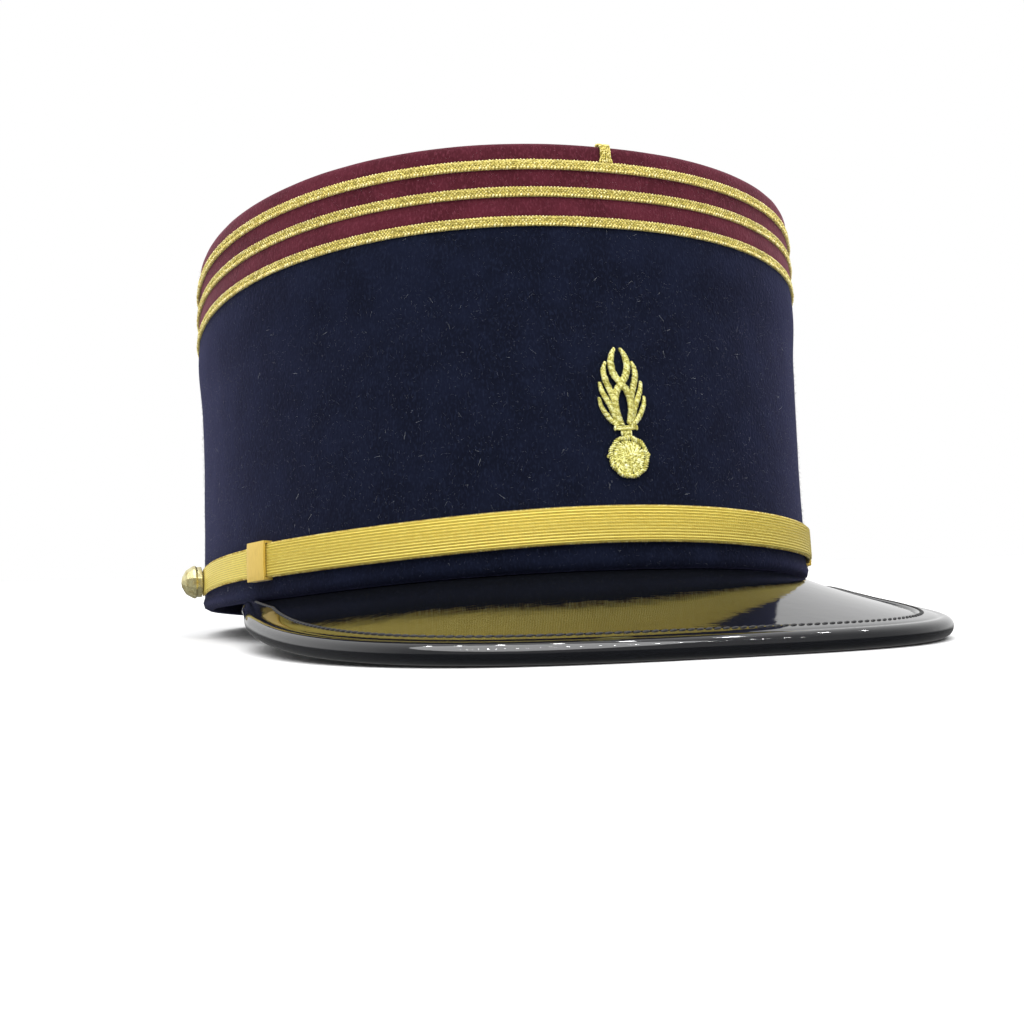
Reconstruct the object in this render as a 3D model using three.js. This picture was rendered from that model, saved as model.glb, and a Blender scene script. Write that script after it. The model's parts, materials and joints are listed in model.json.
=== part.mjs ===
// A kepi cap: a hollow oval crown of navy and crimson cloth, three gold braids,
// an embroidered badge, a chin strap with two keepers and two buttons, and a
// patent leather visor with a rolled edge.
//
// Millimetres, +Z up, front towards -Y, the wearer's left towards +X.
// The pieces are shaped in the cap's own frame, whose XY plane is the plane of
// the hem. The whole cap is then pitched back until it rests on the visor's
// front edge and on the back of the hem, as it does on a table.

import * as THREE from 'three';

// ---- driving dimensions -------------------------------------------------

const GAP = 0.3; // between neighbouring pieces
const WALL = 2.5; // cloth over stiffener

const PLAN = { exponent: 2.2, egg: 0.05 }; // oval, a little wider at the back
const HEM_OVAL = { halfWidth: 85.5, halfLength: 102, centreY: 0 };
const TOP_OVAL = { halfWidth: 86.2, halfLength: 88, centreY: -14 };
const CROWN_HEIGHT = 101.4;
// The hem climbs behind the visor, between two shares of the way to the back.
const HEM_CLIMB = { rise: 6.2, fromShare: 0.12, toShare: 0.9 };

// Steps along each long shape.
const RING_STEPS = 96;
const STRAP_STEPS = 64;
const KEEPER_STEPS = 3;
const FRONT_BRAID_STEPS = 4;
const VISOR_STEPS = 56;
const RIM_STEPS = 64;
const RIM_ROUND_STEPS = 8;
const BUTTON_STEPS = 32;
const BADGE_CURVE_STEPS = 16;
const BAND_ROWS = 4;

// Slow swell and waist of the wall, by height above the hem.
const WALL_RELIEF = [
  { height: 0, outset: 0 },
  { height: 32, outset: -0.4 },
  { height: 60, outset: -0.2 },
  { height: 74, outset: 0.3 },
  { height: CROWN_HEIGHT, outset: 0 },
];

// Outer profile of the rounded hem, from its underside upwards.
const HEM_PROFILE = [
  { height: 0, outset: -1.3 },
  { height: 0.4, outset: -0.4 },
  { height: 1.2, outset: 0.3 },
  { height: 2.1, outset: 0.5 },
  { height: 3, outset: 0.3 },
  { height: 3.8, outset: 0 },
];

// Soft fold at the top edge, from the outside over to the inside.
const TOP_FOLD_PROFILE = [
  { height: CROWN_HEIGHT - 1.6, outset: 0 },
  { height: CROWN_HEIGHT - 0.5, outset: -0.4 },
  { height: CROWN_HEIGHT, outset: -1.2 },
  { height: CROWN_HEIGHT - 0.4, outset: -2.1 },
  { height: CROWN_HEIGHT - 1.6, outset: -WALL },
];

const TOP_PANEL = { drop: 2.6, thickness: 2, sag: 1.2, ringShares: [1, 0.66, 0.33] };

const BRAID = { width: 2.4, thickness: 1.2 };
const BRAID_HEIGHTS = {
  braid_upper: CROWN_HEIGHT - 5.8,
  braid_middle: CROWN_HEIGHT - 12.6,
  braid_lower: CROWN_HEIGHT - 19.8,
};
const FRONT_BRAID_WIDTH = 2.8;
const BAND_SOFTNESS = 0.6; // how much of a flat band's thickness its edges round off

const BADGE = { ballHeight: 25.7, ballRadius: 5.2, neckHalf: 1.6, tipHeight: 51.2, thickness: 1.1 };
// Right-hand side of the badge's flame: distance from the centre line by height.
const FLAME_SIDE = [
  { height: 31.6, half: 2.4 },
  { height: 33.2, half: 3.4 },
  { height: 35.6, half: 5 },
  { height: 39.4, half: 5.8 },
  { height: 44, half: 4.4 },
  { height: 48, half: 2.4 },
];

const STRAP = { height: 10.2, sag: 4.3, endRise: 5.2, width: 8.3, endWidth: 7.2, thickness: 1.4 };
const STRAP_TAPER = 0.1; // radians past a keeper over which the strap narrows
const STRAP_END = 0.6; // how far the strap runs past a button's centre, in button radii
const KEEPER = { angle: 63, length: 8.2, height: 9.6, thickness: 0.7 };
const BUTTON = { angle: 93, radius: 4.9, rise: 5.2, clearance: 0.75 };
// Half outline of a button, as shares of its radius and rise.
const BUTTON_PROFILE = [
  { across: 0, out: 0 },
  { across: 0.86, out: 0 },
  { across: 1, out: 0.11 },
  { across: 1, out: 0.25 },
  { across: 0.9, out: 0.37 },
  { across: 0.8, out: 0.62 },
  { across: 0.5, out: 0.88 },
  { across: 0, out: 1 },
];

const VISOR_THICKNESS = 2.2;
const VISOR_END_ANGLE = 67.5; // on the hem, from the front
const VISOR_UNDER_HEM = 0.6; // how far inside the wall's face the sheet comes out
// The sheet hangs in a soft hollow, fully where it reaches far enough.
const VISOR_DIP = { depth: 4, share: 0.8, fullReach: 36 };
const VISOR_ROWS = [0.1, 0.25, 0.5, 0.75, 1]; // shares of the way out to the rolled edge
// Centre line of the rolled edge.
const RIM = {
  halfWidth: 81.2,
  frontY: -142.3,
  centreY: -36.8,
  exponent: 3.2,
  frontHeight: -19.7,
  backSlope: 0.108,
  backCurve: 0.0007,
  sideRise: 0.55,
  radius: 2.2,
  endAngle: 87.5,
};
// Towards its ends the rolled edge tucks in under the hem.
const RIM_TUCK = { fromAngle: 72, inward: 2.3 };
// Flat inner part of the rolled edge, sewn down on the sheet.
const RIM_TAIL = {
  longest: 6.3,
  shortest: 0.8,
  shareOfSheet: 0.5,
  shoulder: { share: 0.5, above: 1.9, below: 1.8 },
  end: { above: 1.4, below: 1 },
};
const LEVEL_PULL = 6; // keeps the rolled edge level where the sheet is short

const FINISHES = {
  navyCloth: { color: 0x20243a, roughness: 0.95, metalness: 0 },
  crimsonCloth: { color: 0x6b2f3d, roughness: 0.95, metalness: 0 },
  goldThread: { color: 0xcabb6a, roughness: 0.5, metalness: 0.4 },
  goldRibbon: { color: 0xd6bd55, roughness: 0.45, metalness: 0.4 },
  goldSatin: { color: 0xe0c168, roughness: 0.4, metalness: 0.4 },
  giltMetal: { color: 0xd6cb8b, roughness: 0.3, metalness: 0.9 },
  patentLeather: { color: 0x15161a, roughness: 0.08, metalness: 0 },
};

// ---- the crown's wall as a surface --------------------------------------

const radians = THREE.MathUtils.degToRad;

function ovalDirection(angle, exponent) {
  const side = Math.sin(angle);
  const front = Math.cos(angle);
  const reach = (Math.abs(side) ** exponent + Math.abs(front) ** exponent) ** (-1 / exponent);
  return { side: side * reach, front: front * reach };
}

function ovalPoint(oval, angle) {
  const { side, front } = ovalDirection(angle, PLAN.exponent);
  return new THREE.Vector2(
    oval.halfWidth * side * (1 - PLAN.egg * front),
    oval.centreY - oval.halfLength * front,
  );
}

function reliefAt(height) {
  const clamped = THREE.MathUtils.clamp(height, 0, CROWN_HEIGHT);
  const above = Math.max(1, WALL_RELIEF.findIndex((row) => row.height >= clamped));
  const [low, high] = [WALL_RELIEF[above - 1], WALL_RELIEF[above]];
  const share = THREE.MathUtils.smoothstep(clamped, low.height, high.height);
  return THREE.MathUtils.lerp(low.outset, high.outset, share);
}

function ruledPoint(angle, height) {
  const share = height / CROWN_HEIGHT;
  const plan = ovalPoint(HEM_OVAL, angle).lerp(ovalPoint(TOP_OVAL, angle), share);
  return new THREE.Vector3(plan.x, plan.y, height);
}

// Level direction straight out of the wall at an angle from the front.
function wallOutward(angle, height) {
  const step = 1e-3;
  const along = ruledPoint(angle + step, height).sub(ruledPoint(angle - step, height));
  return new THREE.Vector3(along.y, -along.x, 0).normalize();
}

function hemRise(angle) {
  const wayBack = (1 - Math.cos(angle)) / 2;
  return HEM_CLIMB.rise * THREE.MathUtils.smoothstep(wayBack, HEM_CLIMB.fromShare, HEM_CLIMB.toShare);
}

// Point `outset` outside the wall. Angle in radians, 0 at the front, positive
// towards the wearer's left.
function onWall(angle, height, outset) {
  const outward = wallOutward(angle, height);
  return ruledPoint(angle, height).addScaledVector(outward, outset + reliefAt(height));
}

// Angle reached after walking `distance` round the wall from `start`.
function angleAlongWall(start, height, distance) {
  const step = 1e-3;
  const speed = ruledPoint(start + step, height).distanceTo(ruledPoint(start, height)) / step;
  return start + distance / speed;
}

// ---- building closed solids ---------------------------------------------

// Joins equal sections of points into one closed solid. Each section runs
// anticlockwise when it is seen with the next section behind it.
function loft(sections, closed) {
  const size = sections[0].length;
  const positions = sections.flat().flatMap((point) => point.toArray());
  const faces = [];
  const spans = closed ? sections.length : sections.length - 1;
  for (let row = 0; row < spans; row += 1) {
    const here = row * size;
    const next = ((row + 1) % sections.length) * size;
    for (let column = 0; column < size; column += 1) {
      const across = (column + 1) % size;
      faces.push(here + column, next + column, next + across);
      faces.push(here + column, next + across, here + across);
    }
  }
  if (!closed) {
    const last = (sections.length - 1) * size;
    for (let column = 1; column < size - 1; column += 1) {
      faces.push(0, column, column + 1);
      faces.push(last, last + column + 1, last + column);
    }
  }
  const geometry = new THREE.BufferGeometry();
  geometry.setAttribute('position', new THREE.Float32BufferAttribute(positions, 3));
  geometry.setIndex(faces);
  geometry.computeVertexNormals();
  return geometry;
}

// A profile of { height, outset } rows carried round the wall.
function sweepOnWall(profileAt, fromAngle, toAngle, steps, closed = false) {
  const count = closed ? steps : steps + 1;
  const sections = Array.from({ length: count }, (_, index) => {
    const angle = THREE.MathUtils.lerp(fromAngle, toAngle, index / steps);
    return profileAt(angle).map((row) => onWall(angle, row.height, row.outset));
  });
  return loft(sections, closed);
}

function ringOnWall(profile) {
  return sweepOnWall(() => profile, 0, 2 * Math.PI, RING_STEPS, true);
}

// Cross-section of a flat band with softened edges, lying on the wall.
function bandProfile(centreHeight, width, thickness) {
  const half = width / 2;
  const soft = Math.min(thickness, half) * BAND_SOFTNESS;
  const face = GAP + thickness;
  return [
    { height: centreHeight - half, outset: GAP },
    { height: centreHeight - half, outset: face - soft },
    { height: centreHeight - half + soft, outset: face },
    { height: centreHeight + half - soft, outset: face },
    { height: centreHeight + half, outset: face - soft },
    { height: centreHeight + half, outset: GAP },
  ];
}

function makePiece(name, geometry, finish) {
  const material = new THREE.MeshStandardMaterial(finish);
  const mesh = new THREE.Mesh(geometry, material);
  mesh.name = name;
  return mesh;
}

// ---- crown ----------------------------------------------------------------

const seamHeight = BRAID_HEIGHTS.braid_lower;

function crownBand() {
  const wall = Array.from({ length: BAND_ROWS }, (_, index) => ({
    height: THREE.MathUtils.lerp(HEM_PROFILE.at(-1).height, seamHeight, (index + 1) / BAND_ROWS),
    outset: 0,
  }));
  const inside = wall.map((row) => ({ height: row.height, outset: -WALL })).reverse();
  const foot = { height: 0, outset: -WALL };
  const profile = [...HEM_PROFILE, ...wall, ...inside, foot];
  const profileAt = (angle) => profile.map((row) => ({
    height: row.height + hemRise(angle) * (1 - row.height / seamHeight),
    outset: row.outset,
  }));
  const geometry = sweepOnWall(profileAt, 0, 2 * Math.PI, RING_STEPS, true);
  return makePiece('crown_band', geometry, FINISHES.navyCloth);
}

function crownUpper() {
  const foot = seamHeight + GAP;
  const profile = [
    { height: foot, outset: 0 },
    ...TOP_FOLD_PROFILE,
    { height: foot, outset: -WALL },
  ];
  return makePiece('crown_upper', ringOnWall(profile), FINISHES.crimsonCloth);
}

// The panel closes the crown below its top edge and sags a little.
function crownTop() {
  const face = CROWN_HEIGHT - TOP_PANEL.drop;
  const shares = TOP_PANEL.ringShares;
  const centre = new THREE.Vector3(0, TOP_OVAL.centreY, face);
  const sagAt = (share) => TOP_PANEL.sag * (1 - share * share);
  const ringAt = (share, drop) => Array.from({ length: RING_STEPS }, (_, index) => {
    const angle = (2 * Math.PI * index) / RING_STEPS;
    const edge = onWall(angle, face, -WALL - GAP);
    const point = centre.clone().lerp(edge, share);
    return point.setZ(face - sagAt(share) - drop);
  });
  const rings = [
    ...shares.toReversed().map((share) => ringAt(share, 0)),
    ...shares.map((share) => ringAt(share, TOP_PANEL.thickness)),
  ];
  const poles = [sagAt(0), sagAt(0) + TOP_PANEL.thickness].map((drop) => (
    new THREE.Vector3(0, TOP_OVAL.centreY, face - drop)
  ));
  return makePiece('crown_top', loftWithPoles(rings, poles), FINISHES.crimsonCloth);
}

// Closed solid from rings of points and one pole at each end.
function loftWithPoles(rings, poles) {
  const size = rings[0].length;
  const points = [...rings.flat(), ...poles];
  const firstPole = rings.length * size;
  const lastRing = (rings.length - 1) * size;
  const faces = [];
  for (let column = 0; column < size; column += 1) {
    const across = (column + 1) % size;
    faces.push(firstPole, column, across);
    faces.push(firstPole + 1, lastRing + across, lastRing + column);
    for (let row = 0; row < rings.length - 1; row += 1) {
      const here = row * size;
      const next = here + size;
      faces.push(here + column, next + column, next + across);
      faces.push(here + column, next + across, here + across);
    }
  }
  const geometry = new THREE.BufferGeometry();
  const positions = points.flatMap((point) => point.toArray());
  geometry.setAttribute('position', new THREE.Float32BufferAttribute(positions, 3));
  geometry.setIndex(faces);
  geometry.computeVertexNormals();
  return geometry;
}

// ---- braids ---------------------------------------------------------------

function ringBraids() {
  return Object.entries(BRAID_HEIGHTS).map(([name, height]) => {
    const geometry = ringOnWall(bandProfile(height, BRAID.width, BRAID.thickness));
    return makePiece(name, geometry, FINISHES.goldThread);
  });
}

function frontBraid() {
  const low = BRAID_HEIGHTS.braid_upper + BRAID.width / 2 + GAP;
  const high = TOP_FOLD_PROFILE[0].height;
  const halfAngle = angleAlongWall(0, high, FRONT_BRAID_WIDTH / 2);
  const profile = bandProfile((low + high) / 2, high - low, BRAID.thickness);
  const geometry = sweepOnWall(() => profile, -halfAngle, halfAngle, FRONT_BRAID_STEPS);
  return makePiece('braid_front', geometry, FINISHES.goldThread);
}

// ---- badge ----------------------------------------------------------------

// Outline of the flaming ball: a disc, a short neck and a tapering flame.
function badgeOutline() {
  const { ballHeight, ballRadius, neckHalf, tipHeight } = BADGE;
  const neckAngle = Math.acos(neckHalf / ballRadius);
  const outline = new THREE.Shape();
  outline.absarc(0, ballHeight, ballRadius, Math.PI - neckAngle, neckAngle, false);
  FLAME_SIDE.forEach((row) => outline.lineTo(row.half, row.height));
  outline.lineTo(0, tipHeight);
  FLAME_SIDE.toReversed().forEach((row) => outline.lineTo(-row.half, row.height));
  outline.closePath();
  return outline;
}

function badge() {
  const flat = new THREE.ExtrudeGeometry(badgeOutline(), {
    depth: BADGE.thickness,
    bevelEnabled: false,
    curveSegments: BADGE_CURVE_STEPS,
  });
  const place = flat.getAttribute('position');
  const point = new THREE.Vector3();
  for (let index = 0; index < place.count; index += 1) {
    point.fromBufferAttribute(place, index);
    const angle = angleAlongWall(0, point.y, point.x);
    const wallPoint = onWall(angle, point.y, GAP + point.z);
    place.setXYZ(index, wallPoint.x, wallPoint.y, wallPoint.z);
  }
  flat.computeVertexNormals();
  return makePiece('badge', flat, FINISHES.goldThread);
}

// ---- chin strap -------------------------------------------------------------

const keeperAngle = radians(KEEPER.angle);
const buttonAngle = radians(BUTTON.angle);

// The strap dips between the front and the keepers, then rises to the buttons.
function strapHeight(angle) {
  const side = Math.sin(angle) ** 2;
  return STRAP.height - STRAP.sag * side + STRAP.endRise * side ** 2;
}

function chinStrap() {
  const endAngle = angleAlongWall(buttonAngle, STRAP.height, BUTTON.radius * STRAP_END);
  const profileAt = (angle) => {
    const past = THREE.MathUtils.smoothstep(Math.abs(angle), keeperAngle, keeperAngle + STRAP_TAPER);
    const width = THREE.MathUtils.lerp(STRAP.width, STRAP.endWidth, past);
    return bandProfile(strapHeight(angle), width, STRAP.thickness);
  };
  const geometry = sweepOnWall(profileAt, -endAngle, endAngle, STRAP_STEPS);
  return makePiece('chin_strap', geometry, FINISHES.goldRibbon);
}

// A keeper clasps the strap's face and both its edges.
function keeper(name, side) {
  const half = KEEPER.height / 2;
  const inner = STRAP.width / 2 + GAP;
  const face = GAP + STRAP.thickness + GAP;
  const profile = [
    { rise: -inner, outset: GAP },
    { rise: -half, outset: GAP },
    { rise: -half, outset: face + KEEPER.thickness },
    { rise: half, outset: face + KEEPER.thickness },
    { rise: half, outset: GAP },
    { rise: inner, outset: GAP },
    { rise: inner, outset: face },
    { rise: -inner, outset: face },
  ];
  const start = angleAlongWall(side * keeperAngle, STRAP.height, -KEEPER.length / 2);
  const end = angleAlongWall(side * keeperAngle, STRAP.height, KEEPER.length / 2);
  const sections = Array.from({ length: KEEPER_STEPS + 1 }, (_, index) => {
    const angle = THREE.MathUtils.lerp(start, end, index / KEEPER_STEPS);
    return profile.map((row) => onWall(angle, strapHeight(angle) + row.rise, row.outset));
  });
  return makePiece(name, loftChannel(sections), FINISHES.goldSatin);
}

// Like loft, for a channel section whose eight points make three strips.
function loftChannel(sections) {
  const geometry = loft(sections, true);
  const size = sections[0].length;
  const last = (sections.length - 1) * size;
  const strips = [[0, 1, 2, 7], [7, 2, 3, 6], [6, 3, 4, 5]];
  const sides = Array.from(geometry.index.array).slice(0, 6 * size * (sections.length - 1));
  const ends = strips.flatMap(([a, b, c, d]) => [
    a, b, c, a, c, d,
    last + a, last + c, last + b, last + a, last + d, last + c,
  ]);
  geometry.setIndex([...sides, ...ends]);
  geometry.computeVertexNormals();
  return geometry;
}

function button(name, side) {
  const profile = BUTTON_PROFILE.map((row) => (
    new THREE.Vector2(row.across * BUTTON.radius, row.out * BUTTON.rise)
  ));
  const mesh = makePiece(name, new THREE.LatheGeometry(profile, BUTTON_STEPS), FINISHES.giltMetal);
  const angle = side * buttonAngle;
  const height = strapHeight(angle);
  mesh.quaternion.setFromUnitVectors(new THREE.Vector3(0, 1, 0), wallOutward(angle, height));
  mesh.position.copy(onWall(angle, height, STRAP.thickness + BUTTON.clearance));
  return mesh;
}

// ---- visor ------------------------------------------------------------------

function rimPoint(angle) {
  const { side, front } = ovalDirection(angle, RIM.exponent);
  const degrees = THREE.MathUtils.radToDeg(Math.abs(angle));
  const tuck = RIM_TUCK.inward * THREE.MathUtils.smoothstep(degrees, RIM_TUCK.fromAngle, RIM.endAngle);
  const x = RIM.halfWidth * side - Math.sign(angle) * tuck;
  const y = RIM.centreY - (RIM.centreY - RIM.frontY) * front;
  const back = y - RIM.frontY;
  const backRise = RIM.backSlope * back + RIM.backCurve * back ** 2;
  const z = RIM.frontHeight + backRise + RIM.sideRise * side ** 2;
  return new THREE.Vector3(x, y, z);
}

// Place and directions of the visor at `turn`, -1 to 1 from end to end.
function visorStation(turn) {
  const rimAngle = turn * radians(RIM.endAngle);
  const hemAngle = turn * radians(VISOR_END_ANGLE);
  const edge = rimPoint(rimAngle);
  const step = 1e-3;
  const ahead = rimPoint(rimAngle + step).sub(rimPoint(rimAngle - step)).normalize();
  const hemHeight = hemRise(hemAngle) - GAP;
  const atHem = onWall(hemAngle, 0, -VISOR_UNDER_HEM).setZ(hemHeight);
  const underWall = onWall(hemAngle, 0, -WALL).setZ(hemHeight);
  const reach = Math.hypot(atHem.x - edge.x, atHem.y - edge.y);
  const { shareOfSheet, shortest, longest } = RIM_TAIL;
  const tail = THREE.MathUtils.clamp(reach * shareOfSheet, shortest, longest);
  // The sheet's own direction, and level where the sheet grows too short for one.
  const level = new THREE.Vector3(-ahead.y, ahead.x, 0).setLength(LEVEL_PULL);
  const inward = atHem.clone().sub(edge).add(level).projectOnPlane(ahead).normalize();
  const rise = ahead.clone().cross(inward);
  return { edge, atHem, underWall, inward, rise, tail, reach };
}

// How far the sheet hangs under a straight line, at a share of the way out.
function visorDip(share, reach) {
  const depth = VISOR_DIP.depth * Math.min(1, reach / VISOR_DIP.fullReach);
  const bendTo = (at) => 1 - Math.exp(-at / VISOR_DIP.share);
  return depth * (bendTo(share) / bendTo(1) - share);
}

function visorSections(steps, sectionAt) {
  return Array.from({ length: steps + 1 }, (_, index) => (
    sectionAt(visorStation(THREE.MathUtils.lerp(-1, 1, index / steps)))
  ));
}

// The sheet starts under the hem and falls to the rolled edge's tail.
function visor() {
  const sections = visorSections(VISOR_STEPS, ({ edge, atHem, underWall, inward, rise, tail, reach }) => {
    const atTail = edge.clone()
      .addScaledVector(inward, tail + GAP)
      .addScaledVector(rise, VISOR_THICKNESS / 2);
    const slope = VISOR_ROWS.map((share) => {
      const point = atHem.clone().lerp(atTail, share);
      point.z -= visorDip(share, reach);
      return point;
    });
    const level = [underWall, atHem];
    const under = [
      ...level.map((point) => point.clone().setZ(point.z - VISOR_THICKNESS)),
      ...slope.map((point) => point.clone().addScaledVector(rise, -VISOR_THICKNESS)),
    ];
    return [...under, ...slope.toReversed(), ...level.toReversed()];
  });
  return makePiece('visor', loft(sections, false), FINISHES.patentLeather);
}

// A round outer edge that thins inwards to a flat tail.
function visorBinding() {
  const sections = visorSections(RIM_STEPS, ({ edge, inward, rise, tail }) => {
    const at = (inset, lift) => (
      edge.clone().addScaledVector(inward, inset).addScaledVector(rise, lift)
    );
    const round = Array.from({ length: RIM_ROUND_STEPS + 1 }, (_, index) => {
      const turn = (Math.PI * index) / RIM_ROUND_STEPS;
      return at(-RIM.radius * Math.sin(turn), -RIM.radius * Math.cos(turn));
    });
    const { shoulder, end } = RIM_TAIL;
    return [
      ...round,
      at(tail * shoulder.share, shoulder.above),
      at(tail, end.above),
      at(tail, -end.below),
      at(tail * shoulder.share, -shoulder.below),
    ];
  });
  return makePiece('visor_binding', loft(sections, false), FINISHES.patentLeather);
}

// ---- assembly ---------------------------------------------------------------

// Pitch at which the back of the hem and the lowest stretch of the visor's
// rolled edge touch one plane.
function restPitch() {
  const back = onWall(Math.PI, hemRise(Math.PI), HEM_PROFILE[0].outset);
  const pitches = Array.from({ length: 61 }, (_, degrees) => {
    const edge = rimPoint(radians(degrees));
    const span = new THREE.Vector2(back.y - edge.y, back.z - edge.z);
    return Math.atan2(span.y, span.x) + Math.asin(RIM.radius / span.length());
  });
  return Math.max(...pitches);
}

const cap = new THREE.Group();
cap.name = 'cap';
cap.add(
  crownBand(),
  crownUpper(),
  crownTop(),
  ...ringBraids(),
  frontBraid(),
  badge(),
  chinStrap(),
  keeper('keeper_left', 1),
  keeper('keeper_right', -1),
  button('button_left', 1),
  button('button_right', -1),
  visor(),
  visorBinding(),
);
cap.rotation.x = -restPitch();

// The origin is under the middle of the cap's box, on the resting plane.
const bounds = new THREE.Box3().setFromObject(cap, true);
const middle = bounds.getCenter(new THREE.Vector3());
cap.position.set(-middle.x, -middle.y, -bounds.min.z);

const kepi = new THREE.Group();
kepi.name = 'kepi';
kepi.add(cap);

export default kepi;
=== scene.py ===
"""Finish of a kepi cap: cloth crown, gold braids, badge, chin strap and patent leather visor.

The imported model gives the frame. Each class below stands for one sub-assembly or one finish. Shapes are
worked out in the cap's own frame, in millimetres with the hem level, and are then set into the row frame,
where the cap rests on its visor and on the back of its hem.
"""

from __future__ import annotations

import json
import logging
import math
import random
from collections.abc import Callable, Iterator, Sequence
from contextlib import contextmanager
from dataclasses import dataclass, field
from enum import Enum
from functools import lru_cache

import bpy
import numpy as np
from mathutils import Matrix, Vector, noise

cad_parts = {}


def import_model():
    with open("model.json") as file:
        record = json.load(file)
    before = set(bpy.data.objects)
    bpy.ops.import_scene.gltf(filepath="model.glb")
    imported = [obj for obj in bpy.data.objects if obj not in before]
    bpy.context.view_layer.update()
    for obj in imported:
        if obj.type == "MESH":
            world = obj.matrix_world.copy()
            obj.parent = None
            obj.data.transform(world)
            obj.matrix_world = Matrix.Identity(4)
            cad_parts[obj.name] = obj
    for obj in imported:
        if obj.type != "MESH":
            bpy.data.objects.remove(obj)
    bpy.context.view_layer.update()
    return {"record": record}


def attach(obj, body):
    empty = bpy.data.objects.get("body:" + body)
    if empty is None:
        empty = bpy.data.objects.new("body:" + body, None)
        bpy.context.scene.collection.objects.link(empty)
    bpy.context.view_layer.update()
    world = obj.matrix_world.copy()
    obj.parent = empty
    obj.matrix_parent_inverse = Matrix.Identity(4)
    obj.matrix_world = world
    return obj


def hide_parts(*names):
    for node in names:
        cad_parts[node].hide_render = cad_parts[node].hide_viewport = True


LOG = logging.getLogger("kepi")
MM = 0.001
GAP = 0.3
WALL = 2.5
SEAM = 81.6
BODY = "root"

Place = Callable[[float, float], Vector]
Colour = tuple[float, float, float]


class Slot(Enum):
    """Material slots of the record."""

    NAVY = "navy_cloth"
    CRIMSON = "crimson_cloth"
    BRAID = "gold_braid"
    EMBROIDERY = "gold_embroidery"
    RIBBON = "gold_ribbon"
    KEEPER = "gold_keeper"
    GILT = "gilt_metal"
    PATENT = "patent_leather"


def lerp(low: float, high: float, share: float) -> float:
    """Value at a share of the way from low to high."""
    return low + (high - low) * share


def smoothstep(value: float, low: float, high: float) -> float:
    """Soft step from 0 at low to 1 at high."""
    share = min(max((value - low) / (high - low), 0.0), 1.0)
    return share * share * (3 - 2 * share)


# ---- shape of the cap ----------------------------------------------------------------


@dataclass(frozen=True)
class CapFrame:
    """The cap's own frame, millimetres with the hem level, set into the row frame."""

    to_row: Matrix
    hem_face: tuple[float, float, float] = (0.0, 98.3, 6.2)

    @classmethod
    def from_record(cls, record: dict) -> CapFrame:
        """Read the cap's pitch and place from the mount on the hem's underside.

        Args:
            record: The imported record.

        Returns:
            The frame of the resting cap.
        """
        mount = record["mounts"][0]
        up = -Vector(mount["axis"]).normalized()
        side = Vector((1, 0, 0))
        turn = Matrix((side, up.cross(side), up)).transposed()
        origin = Vector(mount["pos_m"]) - turn @ (Vector(cls.hem_face) * MM)
        return cls(Matrix.Translation(origin) @ turn.to_4x4() @ Matrix.Scale(MM, 4))


@dataclass(frozen=True)
class Oval:
    """Plan of the crown at one level: a superellipse, a little wider at the back."""

    half_width: float
    half_length: float
    centre_y: float
    exponent: float = 2.2
    egg: float = 0.05

    def point(self, angle: float) -> Vector:
        """Point at an angle from the front, positive towards the wearer's left."""
        side, front = oval_direction(angle, self.exponent)
        across = self.half_width * side * (1 - self.egg * front)
        return Vector((across, self.centre_y - self.half_length * front))


def oval_direction(angle: float, exponent: float) -> tuple[float, float]:
    """Side and front shares of a unit superellipse at an angle."""
    side, front = math.sin(angle), math.cos(angle)
    reach = (abs(side) ** exponent + abs(front) ** exponent) ** (-1 / exponent)
    return side * reach, front * reach


@dataclass(frozen=True)
class CrownWall:
    """Outer surface of the crown, ruled between the hem's oval and the top's."""

    hem: Oval = Oval(85.5, 102.0, 0.0)
    top: Oval = Oval(86.2, 88.0, -14.0)
    height: float = 101.4
    hem_climb: float = 6.2
    climb_shares: tuple[float, float] = (0.12, 0.9)
    relief: tuple[tuple[float, float], ...] = ((0, 0), (32, -0.4), (60, -0.2), (74, 0.3), (101.4, 0))

    def hem_rise(self, angle: float) -> float:
        """Height of the hem's underside, which climbs towards the back."""
        return self.hem_climb * smoothstep((1 - math.cos(angle)) / 2, *self.climb_shares)

    def relief_at(self, height: float) -> float:
        """Slow swell and waist of the wall."""
        height = min(max(height, 0.0), self.height)
        for (low, start), (high, end) in zip(self.relief, self.relief[1:]):
            if height <= high:
                return lerp(start, end, smoothstep(height, low, high))
        return self.relief[-1][1]

    def ruled(self, angle: float, height: float) -> Vector:
        """Point on the straight-ruled wall."""
        plan = self.hem.point(angle).lerp(self.top.point(angle), height / self.height)
        return Vector((plan.x, plan.y, height))

    def outward(self, angle: float, height: float) -> Vector:
        """Level direction straight out of the wall."""
        along = self.ruled(angle + 1e-3, height) - self.ruled(angle - 1e-3, height)
        return Vector((along.y, -along.x, 0)).normalized()

    def at(self, angle: float, height: float, outset: float) -> Vector:
        """Point a number of millimetres outside the wall."""
        return self.ruled(angle, height) + self.outward(angle, height) * (outset + self.relief_at(height))

    def basis(self, angle: float, height: float, outset: float) -> Matrix:
        """Frame on the wall: X along it towards the wearer's left, Y up it, Z out of it."""
        out = self.outward(angle, height)
        up = (self.ruled(angle, height + 1) - self.ruled(angle, height - 1)).normalized()
        along = up.cross(out).normalized()
        turn = Matrix((along, up, along.cross(up))).transposed()
        return Matrix.Translation(self.at(angle, height, outset)) @ turn.to_4x4()


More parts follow.
